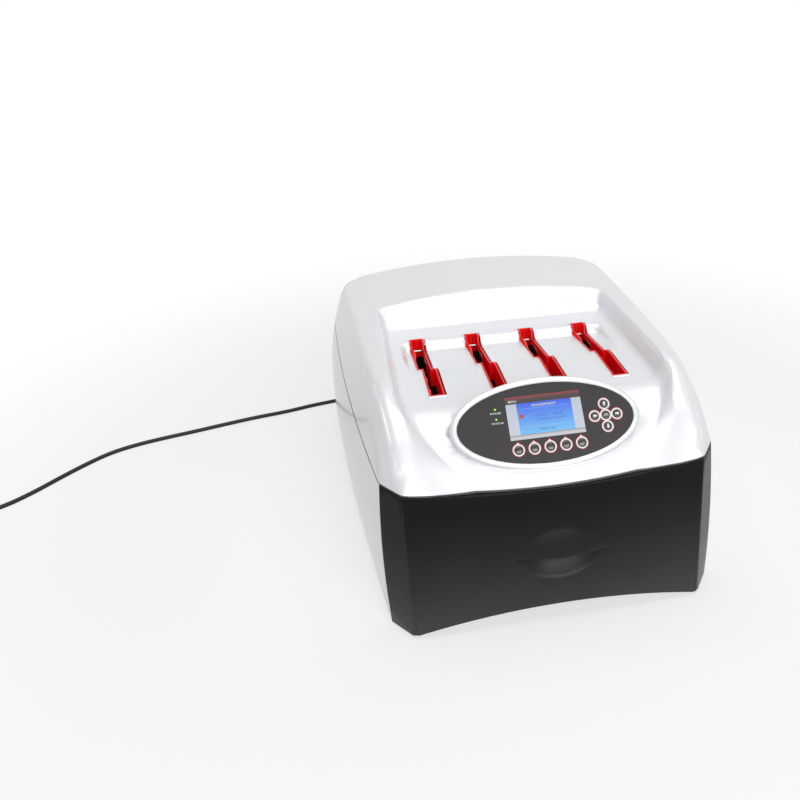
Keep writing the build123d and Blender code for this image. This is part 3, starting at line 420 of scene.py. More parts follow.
def onConsole(across, up, high):
    tilt = math.radians(consoleLook["tilt"])
    x, y, z = consoleLook["place"]
    ahead = up * math.cos(tilt) - high * math.sin(tilt)
    rise = up * math.sin(tilt) + high * math.cos(tilt)
    return Vector((x + across, y + ahead, z + rise)) * mm


def circle(across, up, radius, first=0.0, sweep=360.0):
    count = max(round(consoleLook["ringPoints"] * sweep / 360.0), 4)
    last = count if sweep == 360.0 else count - 1
    angles = [math.radians(first + sweep * step / last) for step in range(count)]
    return [(across + radius * math.cos(angle), up + radius * math.sin(angle)) for angle in angles]


def box(left, low, right, high):
    return [(left, low), (right, low), (right, high), (left, high)]


# Flat shapes of one thickness, gathered into one mesh with a material for each kind of ink.
class Plates:
    def __init__(self, name, finishes):
        self.name = name
        self.finishes = finishes
        self.work = bmesh.new()

    def place(self, faces, vertices, low, high, ink):
        for vertex in vertices:
            vertex.co = onConsole(vertex.co.x, vertex.co.y, low + vertex.co.z * (high - low))
        for face in faces:
            face.material_index = ink

    def shape(self, loops, low, high, ink=0):
        part = bmesh.new()
        for loop in loops:
            ring = [part.verts.new((x, y, 0.0)) for x, y in loop]
            for first, second in zip(ring, ring[1:] + ring[:1]):
                part.edges.new((first, second))
        bmesh.ops.triangle_fill(part, edges=part.edges[:], use_beauty=True)
        lifted = bmesh.ops.extrude_face_region(part, geom=part.faces[:])
        for piece in lifted["geom"]:
            if isinstance(piece, bmesh.types.BMVert):
                piece.co.z = 1.0
        bmesh.ops.recalc_face_normals(part, faces=part.faces[:])
        self.place(part.faces, part.verts, low, high, ink)
        self.gather(part)

    def word(self, text, across, up, width, tall, low, high, ink=0):
        curve = bpy.data.curves.new("word", "FONT")
        curve.body = text
        curve.extrude = 0.5
        curve.offset = 0.004
        curve.resolution_u = 3
        holder = bpy.data.objects.new("word", curve)
        scene.collection.objects.link(holder)
        flat = bpy.data.meshes.new_from_object(holder)
        bpy.data.objects.remove(holder)
        part = bmesh.new()
        part.from_mesh(flat)
        bmesh.ops.remove_doubles(part, verts=part.verts[:], dist=1e-5)
        lows = [min(vertex.co[axis] for vertex in part.verts) for axis in (0, 1)]
        highs = [max(vertex.co[axis] for vertex in part.verts) for axis in (0, 1)]
        for vertex in part.verts:
            vertex.co.x = across + ((vertex.co.x - lows[0]) / (highs[0] - lows[0]) - 0.5) * width
            vertex.co.y = up + ((vertex.co.y - lows[1]) / (highs[1] - lows[1]) - 0.5) * tall
            vertex.co.z += 0.5
        bmesh.ops.recalc_face_normals(part, faces=part.faces[:])
        self.place(part.faces, part.verts, low, high, ink)
        self.gather(part)

    def gather(self, part):
        mesh = bpy.data.meshes.new("part")
        part.to_mesh(mesh)
        part.free()
        self.work.from_mesh(mesh)
        bpy.data.meshes.remove(mesh)

    def done(self, body, slot):
        mesh = bpy.data.meshes.new(self.name)
        self.work.to_mesh(mesh)
        self.work.free()
        for finish in self.finishes:
            mesh.materials.append(finish.material)
        piece = bpy.data.objects.new(self.name, mesh)
        scene.collection.objects.link(piece)
        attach(piece, body)
        return piece


def printFinish(name, slot, colour, glow=0.0):
    finish = Finish(name, slot, Roughness=0.45, Emission_Strength=glow)
    speck = finish.noise(1800.0)
    shade = tuple(part * 0.93 for part in colour[:3]) + (1.0,)
    finish.feed(Base_Color=finish.ramp(speck, [(0.3, shade), (0.6, colour)]))
    if glow:
        finish.feed(Emission_Color=colour)
    return finish


printWhite = printFinish("printWhite", "overlay_grey", grey(0.84))
printRed = printFinish("printRed", "overlay_grey", (0.62, 0.012, 0.03, 1.0))


def pointedRing(across, up, radius, tip):
    spread = consoleLook["tipSpread"]
    return circle(across, up, radius, 90.0 + spread, 360.0 - 2 * spread) + [(across, up + tip)]


def crossOutline(across, up, pitch, radius):
    cut = math.degrees(math.acos(pitch / 2 / radius))  # where the outer discs meet the middle one
    gap = 90.0 - 2 * cut
    outline = []
    for quarter in range(4):
        turn = 90.0 * quarter
        reach = (pitch * math.cos(math.radians(turn)), pitch * math.sin(math.radians(turn)))
        outline += circle(across + reach[0], up + reach[1], radius, turn - 180.0 + cut, 360.0 - 2 * cut)
        if gap > 2.0:
            outline += circle(across, up, radius, turn + cut, gap)[1:-1]
    return outline


def makePrint(look):
    plates = Plates("console_print", [printWhite, printRed])
    high = look["printHigh"]
    inner = look["softRadius"] + look["keyGap"]
    whiteEdge, redEdge = inner + look["whiteReach"], inner + look["redReach"]
    inset, tip = look["softInset"], look["tipReach"]
    for across in look["softAcross"]:
        white = pointedRing(across, look["softUp"], whiteEdge - inset, whiteEdge + tip - look["tipInset"])
        red = pointedRing(across, look["softUp"], redEdge - inset, redEdge + tip)
        plates.shape([white, circle(across, look["softUp"], inner)], 0.0, high, 0)
        plates.shape([red, white], 0.0, high, 1)
    inner = look["navRadius"] + look["keyGap"]
    centre = (look["navAcross"], look["navUp"])
    white = crossOutline(*centre, look["navPitch"], inner + look["whiteReach"] - look["navInset"])
    red = crossOutline(*centre, look["navPitch"], inner + look["redReach"] - look["navInset"])
    holes = [circle(*centre, inner)]
    for across, up in ((1, 0), (0, 1), (-1, 0), (0, -1)):
        holes.append(circle(centre[0] + across * look["navPitch"], centre[1] + up * look["navPitch"], inner))
    plates.shape([white] + holes, 0.0, high, 0)
    plates.shape([red, white], 0.0, high, 1)
    for word in look["lampWords"]:
        plates.word(*word, 0.0, high)
    plates.done("housing", "overlay_grey")


def makeKeyMarks(look):
    low = look["keyHigh"]
    high = low + look["printHigh"]
    turns = {"key_up": 0, "key_left": 1, "key_down": 2, "key_right": 3}
    for key, quarters in turns.items():
        turn = math.radians(90.0 * quarters)
        across = look["navAcross"] - math.sin(turn) * look["navPitch"]
        up = look["navUp"] + math.cos(turn) * look["navPitch"]
        turned = [
            (across + x * math.cos(turn) - y * math.sin(turn), up + x * math.sin(turn) + y * math.cos(turn))
            for x, y in look["arrow"]
        ]
        plates = Plates(f"mark_{key}", [printWhite])
        plates.shape([turned], low, high)
        plates.done(f"{key}_body", "key_black")
    plates = Plates("mark_key_ok", [printWhite])
    plates.word("OK", look["navAcross"], look["navUp"], *look["okSize"], low, high)
    plates.done("key_ok_body", "key_black")


# The soft keys are glossy domes.
def makeDomes(look):
    rings = look["domeRings"]
    count = look["ringPoints"]
    radius, shoulder = look["softRadius"], look["domeShoulder"]
    for number, across in enumerate(look["softAcross"], start=1):
        work = bmesh.new()
        levels = [(radius, look["domeFoot"])]
        for ring in range(rings):
            angle = math.pi / 2 * ring / rings
            levels.append((radius * math.cos(angle), shoulder + (look["keyHigh"] - shoulder) * math.sin(angle)))
        shells = []
        for reach, high in levels:
            ring = circle(across, look["softUp"], reach)
            shells.append([work.verts.new(onConsole(*place, high)) for place in ring])
        top = work.verts.new(onConsole(across, look["softUp"], look["keyHigh"]))
        for lower, upper in zip(shells, shells[1:]):
            for step in range(count):
                after = (step + 1) % count
                work.faces.new((lower[step], lower[after], upper[after], upper[step]))
        for step in range(count):
            work.faces.new((shells[-1][step], shells[-1][(step + 1) % count], top))
        work.faces.new(shells[0][::-1])
        for face in work.faces:
            face.smooth = len(face.verts) < 5
        name = f"dome_soft_{number}"
        mesh = bpy.data.meshes.new(name)
        work.to_mesh(mesh)
        work.free()
        mesh.materials.append(keyBlack.material)
        dome = bpy.data.objects.new(name, mesh)
        scene.collection.objects.link(dome)
        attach(dome, f"key_soft_{number}_body")
        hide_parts(f"key_soft_{number}")


makePrint(consoleLook)
makeKeyMarks(consoleLook)
makeDomes(consoleLook)
print("console printed")

# Display: a lit picture of plain fields and plain words behind its cover.
screenLook = {
    "halfWidth": 47.52,
    "halfHeight": 26.93,
    "back": -1.45,
    "front": -0.1,
    "wordHigh": -0.04,
    "headerLow": 17.8,
    "barHigh": -21.0,
    "panelLeft": -34.2,
    "panelRight": 35.2,
    "glow": 0.85,
    "lines": (10.4, -12.5),
    "lineInset": 2.0,
    "lineTall": 0.5,
    "words": [
        ("MENU", -38.5, 21.2, 10.5, 2.7, "white"),
        ("PROGRAM READY", 0.5, 14.0, 31.0, 2.6, "title"),
        ("STEP 1    00:30", 6.3, 0.4, 33.0, 2.4, "word"),
        ("CARDS IN PORTS", 7.0, -4.6, 36.0, 2.4, "word"),
        ("PRESS OK", 1.0, -16.6, 19.0, 2.6, "word"),
    ],
    "mark": (-29.6, 1.6, 2.8),
    "fields": 5,
    "fieldLine": (0.2, 1.2, 0.8),
}
# Each ink's colour at its lower and upper end, and where these ends are.
screenInks = {
    "header": ((0.028, 0.012, 0.012, 1.0), (0.3, 0.012, 0.02, 1.0), 22.2, 26.4),
    "blue": ((0.16, 0.55, 1.0, 1.0), (0.012, 0.10, 0.9, 1.0), -21.0, 17.8),
    "side": ((0.62, 0.66, 0.76, 1.0), (0.56, 0.62, 0.72, 1.0), -21.0, 17.8),
    "bar": ((0.62, 0.62, 0.68, 1.0), (0.26, 0.26, 0.32, 1.0), -24.0, -21.0),
    "line": ((0.30, 0.62, 1.0, 1.0), (0.20, 0.42, 0.95, 1.0), -21.0, 17.8),
    "title": ((1.0, 0.86, 0.25, 1.0), (1.0, 0.86, 0.25, 1.0), 0.0, 1.0),
    "word": ((0.02, 0.10, 0.42, 1.0), (0.02, 0.08, 0.42, 1.0), 0.0, 1.0),
    "red": ((0.55, 0.02, 0.03, 1.0), (0.65, 0.03, 0.04, 1.0), -1.0, 5.0),
    "white": (grey(0.85), grey(0.85), 0.0, 1.0),
}


def screenFinish(name, low, high, lowEnd, highEnd):
    glow = screenLook["glow"]
    finish = Finish(
        name, "display_panel", Roughness=0.25, Coat_Weight=0.4, Coat_Roughness=0.05, Emission_Strength=glow
    )
    rise = finish.split()[2] / mm - consoleLook["place"][2]
    up = rise / math.sin(math.radians(consoleLook["tilt"]))
    share = (up - lowEnd) / (highEnd - lowEnd)
    colour = finish.ramp(share, [(0.0, low), (1.0, high)])
    finish.feed(Base_Color=grey(0.01), Emission_Color=colour)
    return finish


def makeScreen(look):
    wide, tall = look["halfWidth"], look["halfHeight"]
    header, bar = look["headerLow"], look["barHigh"]
    left, right = look["panelLeft"], look["panelRight"]
    inks = [screenFinish("screen" + key.capitalize(), *ends) for key, ends in screenInks.items()]
    ink = {key: number for number, key in enumerate(screenInks)}
    plates = Plates("screen_picture", inks)
    back, front, high = look["back"], look["front"], look["wordHigh"]
    plates.shape([box(-wide, header, wide, tall)], back, front, ink["header"])
    plates.shape([box(left, bar, right, header)], back, front, ink["blue"])
    plates.shape([box(-wide, bar, left, header)], back, front, ink["side"])
    plates.shape([box(right, bar, wide, header)], back, front, ink["side"])
    plates.shape([box(-wide, -tall, wide, bar)], back, front, ink["bar"])
    inset = look["lineInset"]
    for up in look["lines"]:
        plates.shape([box(left + inset, up, right - inset, up + look["lineTall"])], front, high, ink["line"])
    for *word, key in look["words"]:
        plates.word(*word, front, high, ink[key])
    plates.shape([circle(*look["mark"])], front, high, ink["red"])
    half, above, below = look["fieldLine"]
    for step in range(1, look["fields"]):
        across = -wide + 2 * wide * step / look["fields"]
        plates.shape([box(across - half, -tall + above, across + half, bar - below)], front, high, ink["line"])
    screen = plates.done("housing", "display_panel")
    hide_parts("display_window")


makeScreen(screenLook)
print("display lit")

# Moulded shells: copies of the CAD shells with their outer creases rounded off, in millimetres.
coverSoftening = {
    "node": "top_cover",
    "piece": "cover_shell",
    "body": "housing",
    "facing": (0.0, 0.0, 1.0),
    "leastFacing": 0.05,
    "creaseAngle": 15.0,
    "sampleStep": 2.0,
    "edgeLength": 3.0,
    "levels": 7,
    "reaches": {"rim": 7.0, "corner": 19.0, "hollow": 6.0, "gentle": 12.0, "fine": 3.2},
    "fineBox": ((-160.0, -90.0, 0.0), (160.0, 30.0, 262.0)),
    "gentleAngle": 26.0,
    "steepShare": 0.3,
    "consoleClear": (165.0, 100.0),
    "passes": 60,
    "deepest": 2.1,
    "smoothAngle": 32.0,
}
frontSoftening = {
    **coverSoftening,
    "node": "drawer_front",
    "piece": "front_panel",
    "body": "drawer",
    "facing": (0.0, -1.0, 0.0),
    "edgeLength": 2.0,
    "levels": 8,
    "reaches": {"rim": 4.5, "corner": 3.0, "hollow": 3.0, "gentle": 4.0, "fine": 3.2},
    "consoleClear": (0.001, 0.001),
    "passes": 30,
    "deepest": 1.8,
}


def nearConsole(place, clear):
    x, y, z = consoleLook["place"]
    tilt = math.radians(consoleLook["tilt"])
    across = place.x / mm - x
    up = (place.y / mm - y) * math.cos(tilt) + (place.z / mm - z) * math.sin(tilt)
    return (across / clear[0]) ** 2 + (up / clear[1]) ** 2 < 1.0


# The outer creases, as points along them, sorted by how widely each is rounded.
def creaseTrees(work, look):
    facing = Vector(look["facing"])
    places = {kind: [] for kind in look["reaches"]}
    for edge in work.edges:
        if len(edge.link_faces) != 2:
            continue
        if min(face.normal.dot(facing) for face in edge.link_faces) < look["leastFacing"]:
            continue
        angle = math.degrees(edge.calc_face_angle(0.0))
        first, second = (vertex.co.copy() for vertex in edge.verts)
        along = second - first
        middle = (first + second) / 2
        if angle < look["creaseAngle"] or nearConsole(middle, look["consoleClear"]):
            continue
        low, high = look["fineBox"]
        if all(low[axis] < middle[axis] / mm < high[axis] for axis in range(3)):
            kind = "fine"
        elif edge.is_convex:
            kind = "rim" if angle > look["gentleAngle"] else "gentle"
        else:
            kind = "corner" if abs(along.z) > look["steepShare"] * along.length else "hollow"
        count = max(round(along.length / mm / look["sampleStep"]), 1)
        places[kind] += [first + along * step / count for step in range(count + 1)]
    trees = []
    for kind, found in places.items():
        tree = KDTree(len(found))
        for number, place in enumerate(found):
            tree.insert(place, number)
        tree.balance()
        if found:
            trees.append((tree, look["reaches"][kind] * mm))
    return trees


def split(work, edges):
    bmesh.ops.subdivide_edges(work, edges=edges, cuts=1)
    bmesh.ops.triangulate(work, faces=[face for face in work.faces if len(face.verts) > 3])


def softShell(look, finish, shift=None):
    facing = Vector(look["facing"])
    work = bmesh.new()
    work.from_mesh(nodes[look["node"]].data)
    bmesh.ops.remove_doubles(work, verts=work.verts[:], dist=1e-6)
    if shift:
        shift(work)
        work.normal_update()
    trees = creaseTrees(work, look)

    def nearness(vertex):
        if vertex.normal.dot(facing) < 0.0:
            return 0.0
        return max(max(1.0 - tree.find(vertex.co)[2] / reach for tree, reach in trees), 0.0)

    longest = look["edgeLength"] * mm
    for level in range(look["levels"]):
        work.normal_update()
        close = {vertex for vertex in work.verts if nearness(vertex) > 0.0}
        beside = [edge for edge in work.edges if not close.isdisjoint(edge.verts)]
        split(work, [edge for edge in beside if edge.calc_length() > longest])
    work.normal_update()
    work.verts.index_update()
    places = numpy.array([tuple(vertex.co) for vertex in work.verts])
    outward = numpy.array([tuple(vertex.normal) for vertex in work.verts])
    pull = numpy.array([min(2.0 * nearness(vertex), 1.0) for vertex in work.verts])
    ends = numpy.array([[vertex.index for vertex in edge.verts] for edge in work.edges])
    ends = ends[(pull[ends[:, 0]] > 0) | (pull[ends[:, 1]] > 0)]
    starts = numpy.concatenate([ends[:, 0], ends[:, 1]])
    stops = numpy.concatenate([ends[:, 1], ends[:, 0]])
    degree = numpy.maximum(numpy.bincount(starts, minlength=len(places)), 1)
    old = places.copy()
    for turn in range(look["passes"]):
        for axis in range(3):
            total = numpy.bincount(starts, weights=places[stops, axis], minlength=len(places))
            places[:, axis] += 0.5 * pull * (total / degree - places[:, axis])
    # It sinks less than the wall's thickness, so that the inner skin stays inside.
    sunk = -((places - old) * outward).sum(axis=1)
    places += numpy.maximum(sunk - look["deepest"] * mm, 0.0)[:, None] * outward
    for vertex, place in zip(work.verts, places):
        vertex.co = place
    mesh = bpy.data.meshes.new(look["piece"])
    work.to_mesh(mesh)
    work.free()
    mesh.polygons.foreach_set("use_smooth", [True] * len(mesh.polygons))
    mesh.set_sharp_from_angle(angle=math.radians(look["smoothAngle"]))
    rough = bpy.data.objects.new("rough", mesh)
    scene.collection.objects.link(rough)
    even = rough.modifiers.new("even", "WEIGHTED_NORMAL")
    even.keep_sharp = True
    even.weight = 80
    bpy.context.view_layer.update()
    mesh = bpy.data.meshes.new_from_object(rough.evaluated_get(bpy.context.evaluated_depsgraph_get()))
    bpy.data.objects.remove(rough)
    mesh.materials.clear()
    mesh.materials.append(finish.material)
    shell = bpy.data.objects.new(look["piece"], mesh)
    scene.collection.objects.link(shell)
    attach(shell, look["body"])
    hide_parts(look["node"])
    print(look["piece"], "softened:", len(mesh.polygons), "faces")


# The pull moves up the lean of the front panel, and what surrounds it stretches along.
pullLook = {
    "across": (-84.0, -66.0, 66.0, 84.0),
    "up": (30.0, 50.0, 128.0, 148.0),
    "rise": 8.5,
    "lean": 0.136,
    "edgeLength": 5.0,
    "levels": 8,
}


def raisePull(work):
    look = pullLook
    across, up = look["across"], look["up"]
    fade = (0, 1, 1, 0)
    longest = look["edgeLength"] * mm

    def touches(edge):
        xs, zs = ([vertex.co[axis] / mm for vertex in edge.verts] for axis in (0, 2))
        return min(xs) < across[3] and max(xs) > across[0] and min(zs) < up[3] and max(zs) > up[0]

    for level in range(look["levels"]):
        split(work, [edge for edge in work.edges if edge.calc_length() > longest and touches(edge)])
    for vertex in work.verts:
        share = numpy.interp(vertex.co.x / mm, across, fade) * numpy.interp(vertex.co.z / mm, up, fade)
        vertex.co.z += share * look["rise"] * mm
        vertex.co.y += share * look["rise"] * look["lean"] * mm


softShell(coverSoftening, coverSilver)
softShell(frontSoftening, frontBlack, raisePull)


# Repeated small pieces come from one Geometry Nodes tree: rods of a given number of sides, in rows and columns.
class RodTree:
    def __init__(self, name):
        self.tree = bpy.data.node_groups.new(name, "GeometryNodeTree")
        self.inputs = {}
        sockets = self.tree.interface
        for kind, labels in (
            ("Int", ("Sides", "Columns", "Rows")),
            ("Vector", ("Rod Size", "Turn", "Start", "Column Step", "Row Step")),
            ("Material", ("Finish",)),
        ):
            for label in labels:
                made = sockets.new_socket(label, in_out="INPUT", socket_type="NodeSocket" + kind)
                self.inputs[label] = made.identifier
        sockets.new_socket("Geometry", in_out="OUTPUT", socket_type="NodeSocketGeometry")
        self.source = self.tree.nodes.new("NodeGroupInput")
        rod = self.add("MeshCylinder", {"Vertices": "Sides"})
        line = self.add("MeshLine", {"Count": "Rows", "Offset": "Row Step"})
        shape = {"Instance": rod, "Scale": "Rod Size", "Rotation": "Turn"}
        column = self.add("InstanceOnPoints", {"Points": line, **shape})
        across = self.add("MeshLine", {"Count": "Columns", "Offset": "Column Step", "Start Location": "Start"})
        rows = self.add("InstanceOnPoints", {"Points": across, "Instance": column})
        real = self.add("RealizeInstances", {"Geometry": rows})
        done = self.add("SetMaterial", {"Geometry": real, "Material": "Finish"})
        output = self.tree.nodes.new("NodeGroupOutput")
        self.tree.links.new(done.outputs[0], output.inputs[0])

    def add(self, kind, sockets):
        node = self.tree.nodes.new("GeometryNode" + kind)
        for key, value in sockets.items():
            start = self.source.outputs[value] if isinstance(value, str) else value.outputs[0]
            self.tree.links.new(start, node.inputs[key])
        return node


rodTree = RodTree("rods in rows")


def rods(name, looks, finish, body):
    work = bmesh.new()
    for look in looks:
        holder = bpy.data.objects.new("rods", bpy.data.meshes.new("rods"))
        scene.collection.objects.link(holder)
        modifier = holder.modifiers.new("rods", "NODES")
        modifier.node_group = rodTree.tree
        for label, value in {**look, "Finish": finish.material}.items():
            modifier[rodTree.inputs[label]] = value
        holder.update_tag()
        made = bpy.data.meshes.new_from_object(holder.evaluated_get(bpy.context.evaluated_depsgraph_get()))
        holder.modifiers.remove(modifier)
        bpy.data.objects.remove(holder)
        work.from_mesh(made)
        bpy.data.meshes.remove(made)
    bmesh.ops.recalc_face_normals(work, faces=work.faces[:])
    mesh = bpy.data.meshes.new(name)
    work.to_mesh(mesh)
    work.free()
    mesh.materials.append(finish.material)
    piece = bpy.data.objects.new(name, mesh)
    scene.collection.objects.link(piece)
    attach(piece, body)


def rodRow(sides, size, start, columns=(1, (0, 0, 0)), rows=(1, (0, 0, 0)), turn=(0.0, 0.0, 0.0)):
    return {
        "Sides": sides,
        "Rod Size": tuple(part * mm for part in size),
        "Turn": tuple(math.radians(part) for part in turn),
        "Columns": columns[0],
        "Column Step": tuple(part * mm for part in columns[1]),
        "Rows": rows[0],
        "Row Step": tuple(part * mm for part in rows[1]),
        "Start": tuple(part * mm for part in start),
    }


# Ribs that lead the cards down the ports, with lips and pins, and the screws of the rear panel.
ribLook = {
    "pitch": 82.7,
    "firstPort": -125.05,
    "portShift": 3.1,
    "frontWall": -4.8,
    "rearWall": -11.0,
    "toothOut": 1.0,
    "frontTooth": (2.0, 16.0, 11.0),
    "frontTeeth": (2, -118.0, 34.0),
    "rearTooth": (2.0, 30.0, 11.0),
    "rearPlace": -2.0,
    "middleHigh": 232.0,
    "groove": (1.1, 1.1, 11.0),
    "grooves": (2, 5.2),
    "groovePlace": (31.2, 236.0),
    "roundSides": 16,
    "lipSize": (1.4, 2.6, 12.6),
    "lipPlace": (-147.4, 249.3),
    "pinSize": (1.5, 1.8, 6.0),
    "pinPlace": (26.0, 234.0),
}
screwLook = {
    "inset": 7.0,
    "across": 3,
    "radius": 3.2,
    "headHigh": 0.9,
    "sunk": 0.1,
    "headSides": 20,
    "socket": (1.5, 1.5, 0.15),
    "socketOut": 0.36,
    "socketSides": 6,
}


def makeRibs(look):
    ports = (4, (look["pitch"], 0, 0))
    first, shift, high = look["firstPort"], look["portShift"], look["middleHigh"]
    count, front, step = look["frontTeeth"]
    grooveCount, grooveStep = look["grooves"]
    frontTooth = (first + look["frontWall"] + look["toothOut"], front, high)
    rearTooth = (first + look["rearWall"] + look["toothOut"], look["rearPlace"], high)
    groove = (first + look["rearWall"] + grooveStep, *look["groovePlace"])
    grooves = (grooveCount, (grooveStep, 0, 0))
    sideways = (0, 90.0, 0)
    ribs = [
        rodRow(3, look["frontTooth"], frontTooth, ports, (count, (0, step, 0))),
        rodRow(3, look["rearTooth"], rearTooth, ports),
        rodRow(3, look["groove"], groove, ports, grooves, (0, 0, -90.0)),
    ]
    lip = rodRow(look["roundSides"], look["lipSize"], (first + shift, *look["lipPlace"]), ports, turn=sideways)
    pin = rodRow(look["roundSides"], look["pinSize"], (first - shift, *look["pinPlace"]), ports, turn=sideways)
    rods("port_ribs", ribs, portRed, "housing")
    rods("port_lips", [lip], coverSilver, "housing")
    rods("port_pins", [pin], slideSteel, "housing")


def makeScrews(look):
    low, high = (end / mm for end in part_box("rear_panel"))
    inset = look["inset"]
    columns = (look["across"], ((high.x - low.x - 2 * inset) / (look["across"] - 1), 0, 0))
    rows = (2, (0, 0, high.z - low.z - 2 * inset))
    turn = (90.0, 0, 0)

    def corner(out):
        return (low.x + inset, high.y + out, low.z + inset)

    head = (look["radius"], look["radius"], look["headHigh"])
    headPlace = corner(look["headHigh"] / 2 - look["sunk"])
    socketPlace = corner(look["headHigh"] + look["socketOut"])
    heads = rodRow(look["headSides"], head, headPlace, columns, rows, turn)
    sockets = rodRow(look["socketSides"], look["socket"], socketPlace, columns, rows, turn)
    rods("panel_screws", [heads], slideSteel, "housing")
    rods("screw_sockets", [sockets], inletBlack, "housing")


makeRibs(ribLook)
makeScrews(screwLook)
print("ribs and screws placed")

# Mains cord: the route that the CAD tube follows, then the turns of the coil, then the plug.
cordLook = {
    "diameter": 7.0 * mm,
    "turnPoints": 14,
    "turnSpan": 320.0,
    "turnFirst": 342.0,
    "turnWidth": 34.0,
    "startAngle": 53.0,
    "wholeTurns": 5,
    "exitAngle": 180.0,
    "ringPitch": 1.04,
    "sideSteps": 5,
    "lengthSteps": 10,
}
cordRoute = [
    (30.0, 372.0, 62.0),
    (28.0, 404.0, 55.0),
    (8.0, 436.0, 27.0),
    (-34.0, 442.0, 5.5),
    (-90.0, 418.0, 3.5),
    (-150.0, 372.0, 3.5),
    (-206.0, 338.0, 3.5),
    (-256.0, 325.0, 3.5),
    (-306.0, 316.5, 3.5),
    (-354.0, 303.0, 3.5),
    (-410.0, 294.5, 3.5),
    (-468.0, 281.0, 3.5),
    (-524.0, 267.0, 3.5),
    (-570.0, 257.0, 3.5),
    (-618.0, 244.0, 3.5),
    (-658.0, 226.0, 3.5),
    (-692.0, 197.0, 3.5),
    (-724.0, 165.0, 3.5),
    (-758.0, 128.0, 3.5),
    (-794.0, 98.0, 3.5),
]


def coilPoints(look):
    low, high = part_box("cord_coil")
    centre = (low + high) / 2
    diameter = look["diameter"]
    outer = (high.x - low.x) / 2 - diameter / 2
    inner = outer - look["ringPitch"] * diameter
    floor = diameter / 2
    places = [(outer, 0), (inner, 0), (inner, 1), (inner, 2), (outer, 2), (outer, 1)]
    total = look["exitAngle"] - look["startAngle"] + 360.0 * look["wholeTurns"]
    steps = round(total / 360.0 * look["turnPoints"])
    # A quadratic spline cuts inside its control points.
    lift = 1 / math.cos(math.pi / look["turnPoints"])
    points = []
    for step in range(steps + 1):
        travelled = total * step / steps
        place = [places[0][0], places[0][1]]
        for number, (radius, layer) in enumerate(places[1:]):
            middle = look["turnFirst"] + number * look["turnSpan"]
            share = min(max((travelled - middle) / look["turnWidth"] + 0.5, 0.0), 1.0)
            place = [place[0] + (radius - place[0]) * share, place[1] + (layer - place[1]) * share]
        angle = math.radians(look["startAngle"] + travelled)
        reach = place[0] * lift
        height = floor + place[1] * diameter
        across, along = reach * math.cos(angle), reach * math.sin(angle)
        points.append((centre.x + across, centre.y + along, height))
    return points


def makeCord(look):
    points = [tuple(part * mm for part in point) for point in cordRoute] + coilPoints(look)
    curve = bpy.data.curves.new("mains_cord", "CURVE")
    curve.dimensions = "3D"
    curve.bevel_depth = look["diameter"] / 2
    curve.bevel_resolution = look["sideSteps"]
    curve.resolution_u = look["lengthSteps"]
    curve.use_fill_caps = True
    spline = curve.splines.new("NURBS")
    spline.points.add(len(points) - 1)
    for point, place in zip(spline.points, points):
        point.co = (*place, 1.0)
    spline.order_u = 3
    spline.use_endpoint_u = True
    cord = bpy.data.objects.new("mains_cord", curve)
    scene.collection.objects.link(cord)
    curve.materials.append(cordBlack.material)
    return cord


cord = makeCord(cordLook)
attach(cord, "housing")
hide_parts("power_cord", "cord_coil")
print("cord laid")

# The floor is plain white to the eye and in reflections further out, and keeps the shadow near the object.
floorLook = {
    "size": 14.0,
    "nearShare": 0.62,
    "nearEnd": 0.45,
    "farStart": 1.25,
    "paint": 0.9,
    "rough": 0.9,
}


def makeFloor(look):
    mesh = bpy.data.meshes.new("floor")
    size = look["size"]
    corners = [(x, y, 0.0) for x, y in box(-size, -size, size, size)]
    mesh.from_pydata(corners, [], [(0, 1, 2, 3)])
    floor = bpy.data.objects.new("floor", mesh)
    scene.collection.objects.link(floor)
    finish = Finish("floorWhite", "", Roughness=look["rough"])
    finish.feed(Base_Color=grey(look["paint"]))
    path = finish.add("LightPath")
    seen = path.out("Is Camera Ray") + path.out("Is Glossy Ray") + path.out("Is Transmission Ray")
    away = finish.add("VectorMath", {"operation": "LENGTH"}, {0: finish.place()}).out("Value")
    reach = finish.add(
        "MapRange",
        {"interpolation_type": "SMOOTHSTEP"},
        {"Value": away, "From Min": look["nearEnd"], "From Max": look["farStart"], "To Min": look["nearShare"]},
    ).out("Result")
    white = finish.add("Emission", {}, {"Color": grey(1.0), "Strength": 1.0}).node
    both = finish.add("MixShader", {}, {0: reach * seen}).node
    finish.tree.links.new(finish.shader.outputs["BSDF"], both.inputs[1])
    finish.tree.links.new(white.outputs["Emission"], both.inputs[2])
    finish.tree.links.new(both.outputs["Shader"], finish.output.inputs["Surface"])
    mesh.materials.append(finish.material)


def makeLamp(name, look):
    data = bpy.data.lights.new(name, "AREA")
    data.shape = "RECTANGLE"
    data.size, data.size_y = look["size"]
    data.energy = look["power"]
    lamp = bpy.data.objects.new(name, data)
    lamp.location = look["place"]
    aim = Vector(look["target"]) - Vector(look["place"])
    lamp.rotation_euler = aim.to_track_quat("-Z", "Y").to_euler()
    scene.collection.objects.link(lamp)


lampLooks = {
    "topLight": {"size": (2.4, 2.0), "power": 25.0, "place": (0.0, 0.1, 2.2), "target": (0, 0, 0.2)},
    "frontLight": {"size": (2.2, 1.2), "power": 33.0, "place": (0.4, -2.2, 1.5), "target": (0, 0, 0.2)},
    "leftLight": {"size": (1.2, 1.6), "power": 0.5, "place": (-2.2, -0.4, 1.2), "target": (0, 0, 0.2)},
}

# The world lights softly, and is plain white where the camera or a reflection sees it.
worldLook = {
    "lit": 0.20,
    "seen": 1.0,
}


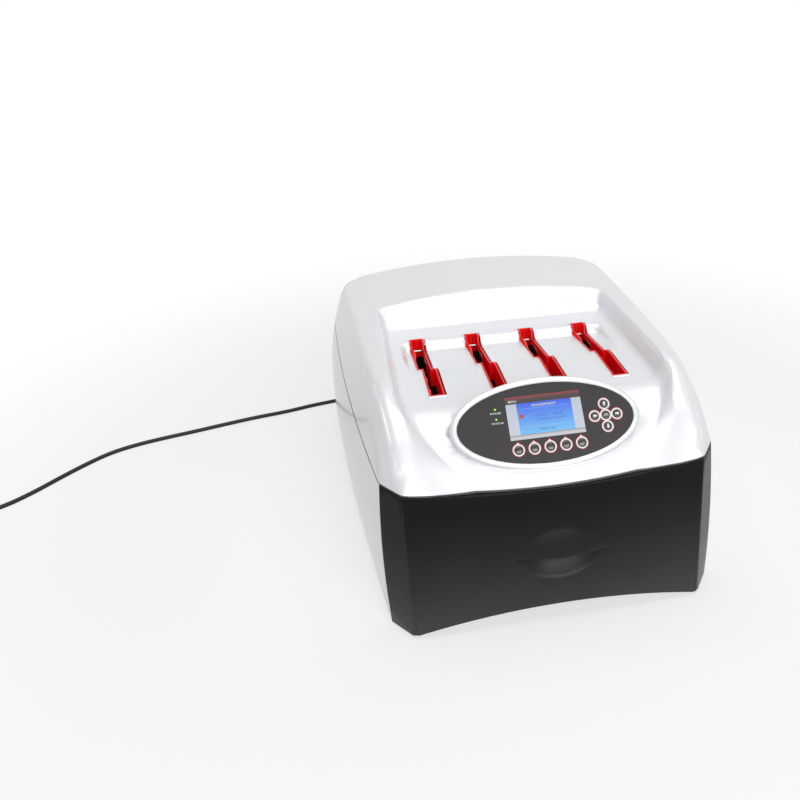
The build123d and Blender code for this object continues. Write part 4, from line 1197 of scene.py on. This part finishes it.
def makeWorld(look):
    world = bpy.data.worlds.new("studio")
    world.use_nodes = True
    tree = world.node_tree
    tree.nodes.clear()
    output = tree.nodes.new("ShaderNodeOutputWorld")
    path = tree.nodes.new("ShaderNodeLightPath")
    mixed = tree.nodes.new("ShaderNodeMixShader")
    for number, key in enumerate(("lit", "seen"), start=1):
        back = tree.nodes.new("ShaderNodeBackground")
        back.inputs["Color"].default_value = grey(1.0)
        back.inputs["Strength"].default_value = look[key]
        tree.links.new(back.outputs["Background"], mixed.inputs[number])
    seen = path.outputs["Is Camera Ray"]
    for ray in ("Is Transmission Ray", "Is Glossy Ray"):
        either = tree.nodes.new("ShaderNodeMath")
        either.operation = "MAXIMUM"
        tree.links.new(seen, either.inputs[0])
        tree.links.new(path.outputs[ray], either.inputs[1])
        seen = either.outputs["Value"]
    tree.links.new(seen, mixed.inputs["Fac"])
    tree.links.new(mixed.outputs["Shader"], output.inputs["Surface"])
    scene.world = world


cameraLook = {
    "place": (-0.2295, -1.0338, 0.7444),
    "yaw": 9.873,
    "pitch": 28.337,
    "roll": -1.744,
    "focal": 790.0,
    "imageSize": 800.0,
    "sensor": 36.0,
    "centreOffset": (73.22, -13.87),
}


def makeCamera(look):
    yaw, pitch, roll = (math.radians(look[key]) for key in ("yaw", "pitch", "roll"))
    ahead = Vector((math.sin(yaw) * math.cos(pitch), math.cos(yaw) * math.cos(pitch), -math.sin(pitch)))
    level = Vector((math.cos(yaw), -math.sin(yaw), 0.0))
    upright = level.cross(ahead)
    right = level * math.cos(roll) + upright * math.sin(roll)
    up = upright * math.cos(roll) - level * math.sin(roll)
    data = bpy.data.cameras.new("camera")
    data.sensor_width = look["sensor"]
    data.lens = look["focal"] / look["imageSize"] * look["sensor"]
    data.shift_x = -look["centreOffset"][0] / look["imageSize"]
    data.shift_y = look["centreOffset"][1] / look["imageSize"]
    data.clip_start = 0.01
    camera = bpy.data.objects.new("camera", data)
    turn = Matrix((right, up, -ahead)).transposed().to_4x4()
    camera.matrix_world = Matrix.Translation(look["place"]) @ turn
    scene.collection.objects.link(camera)
    scene.camera = camera


makeFloor(floorLook)
for lampName, lampLook in lampLooks.items():
    makeLamp(lampName, lampLook)
makeWorld(worldLook)
makeCamera(cameraLook)
scene.view_settings.view_transform = "Standard"
print("studio ready")
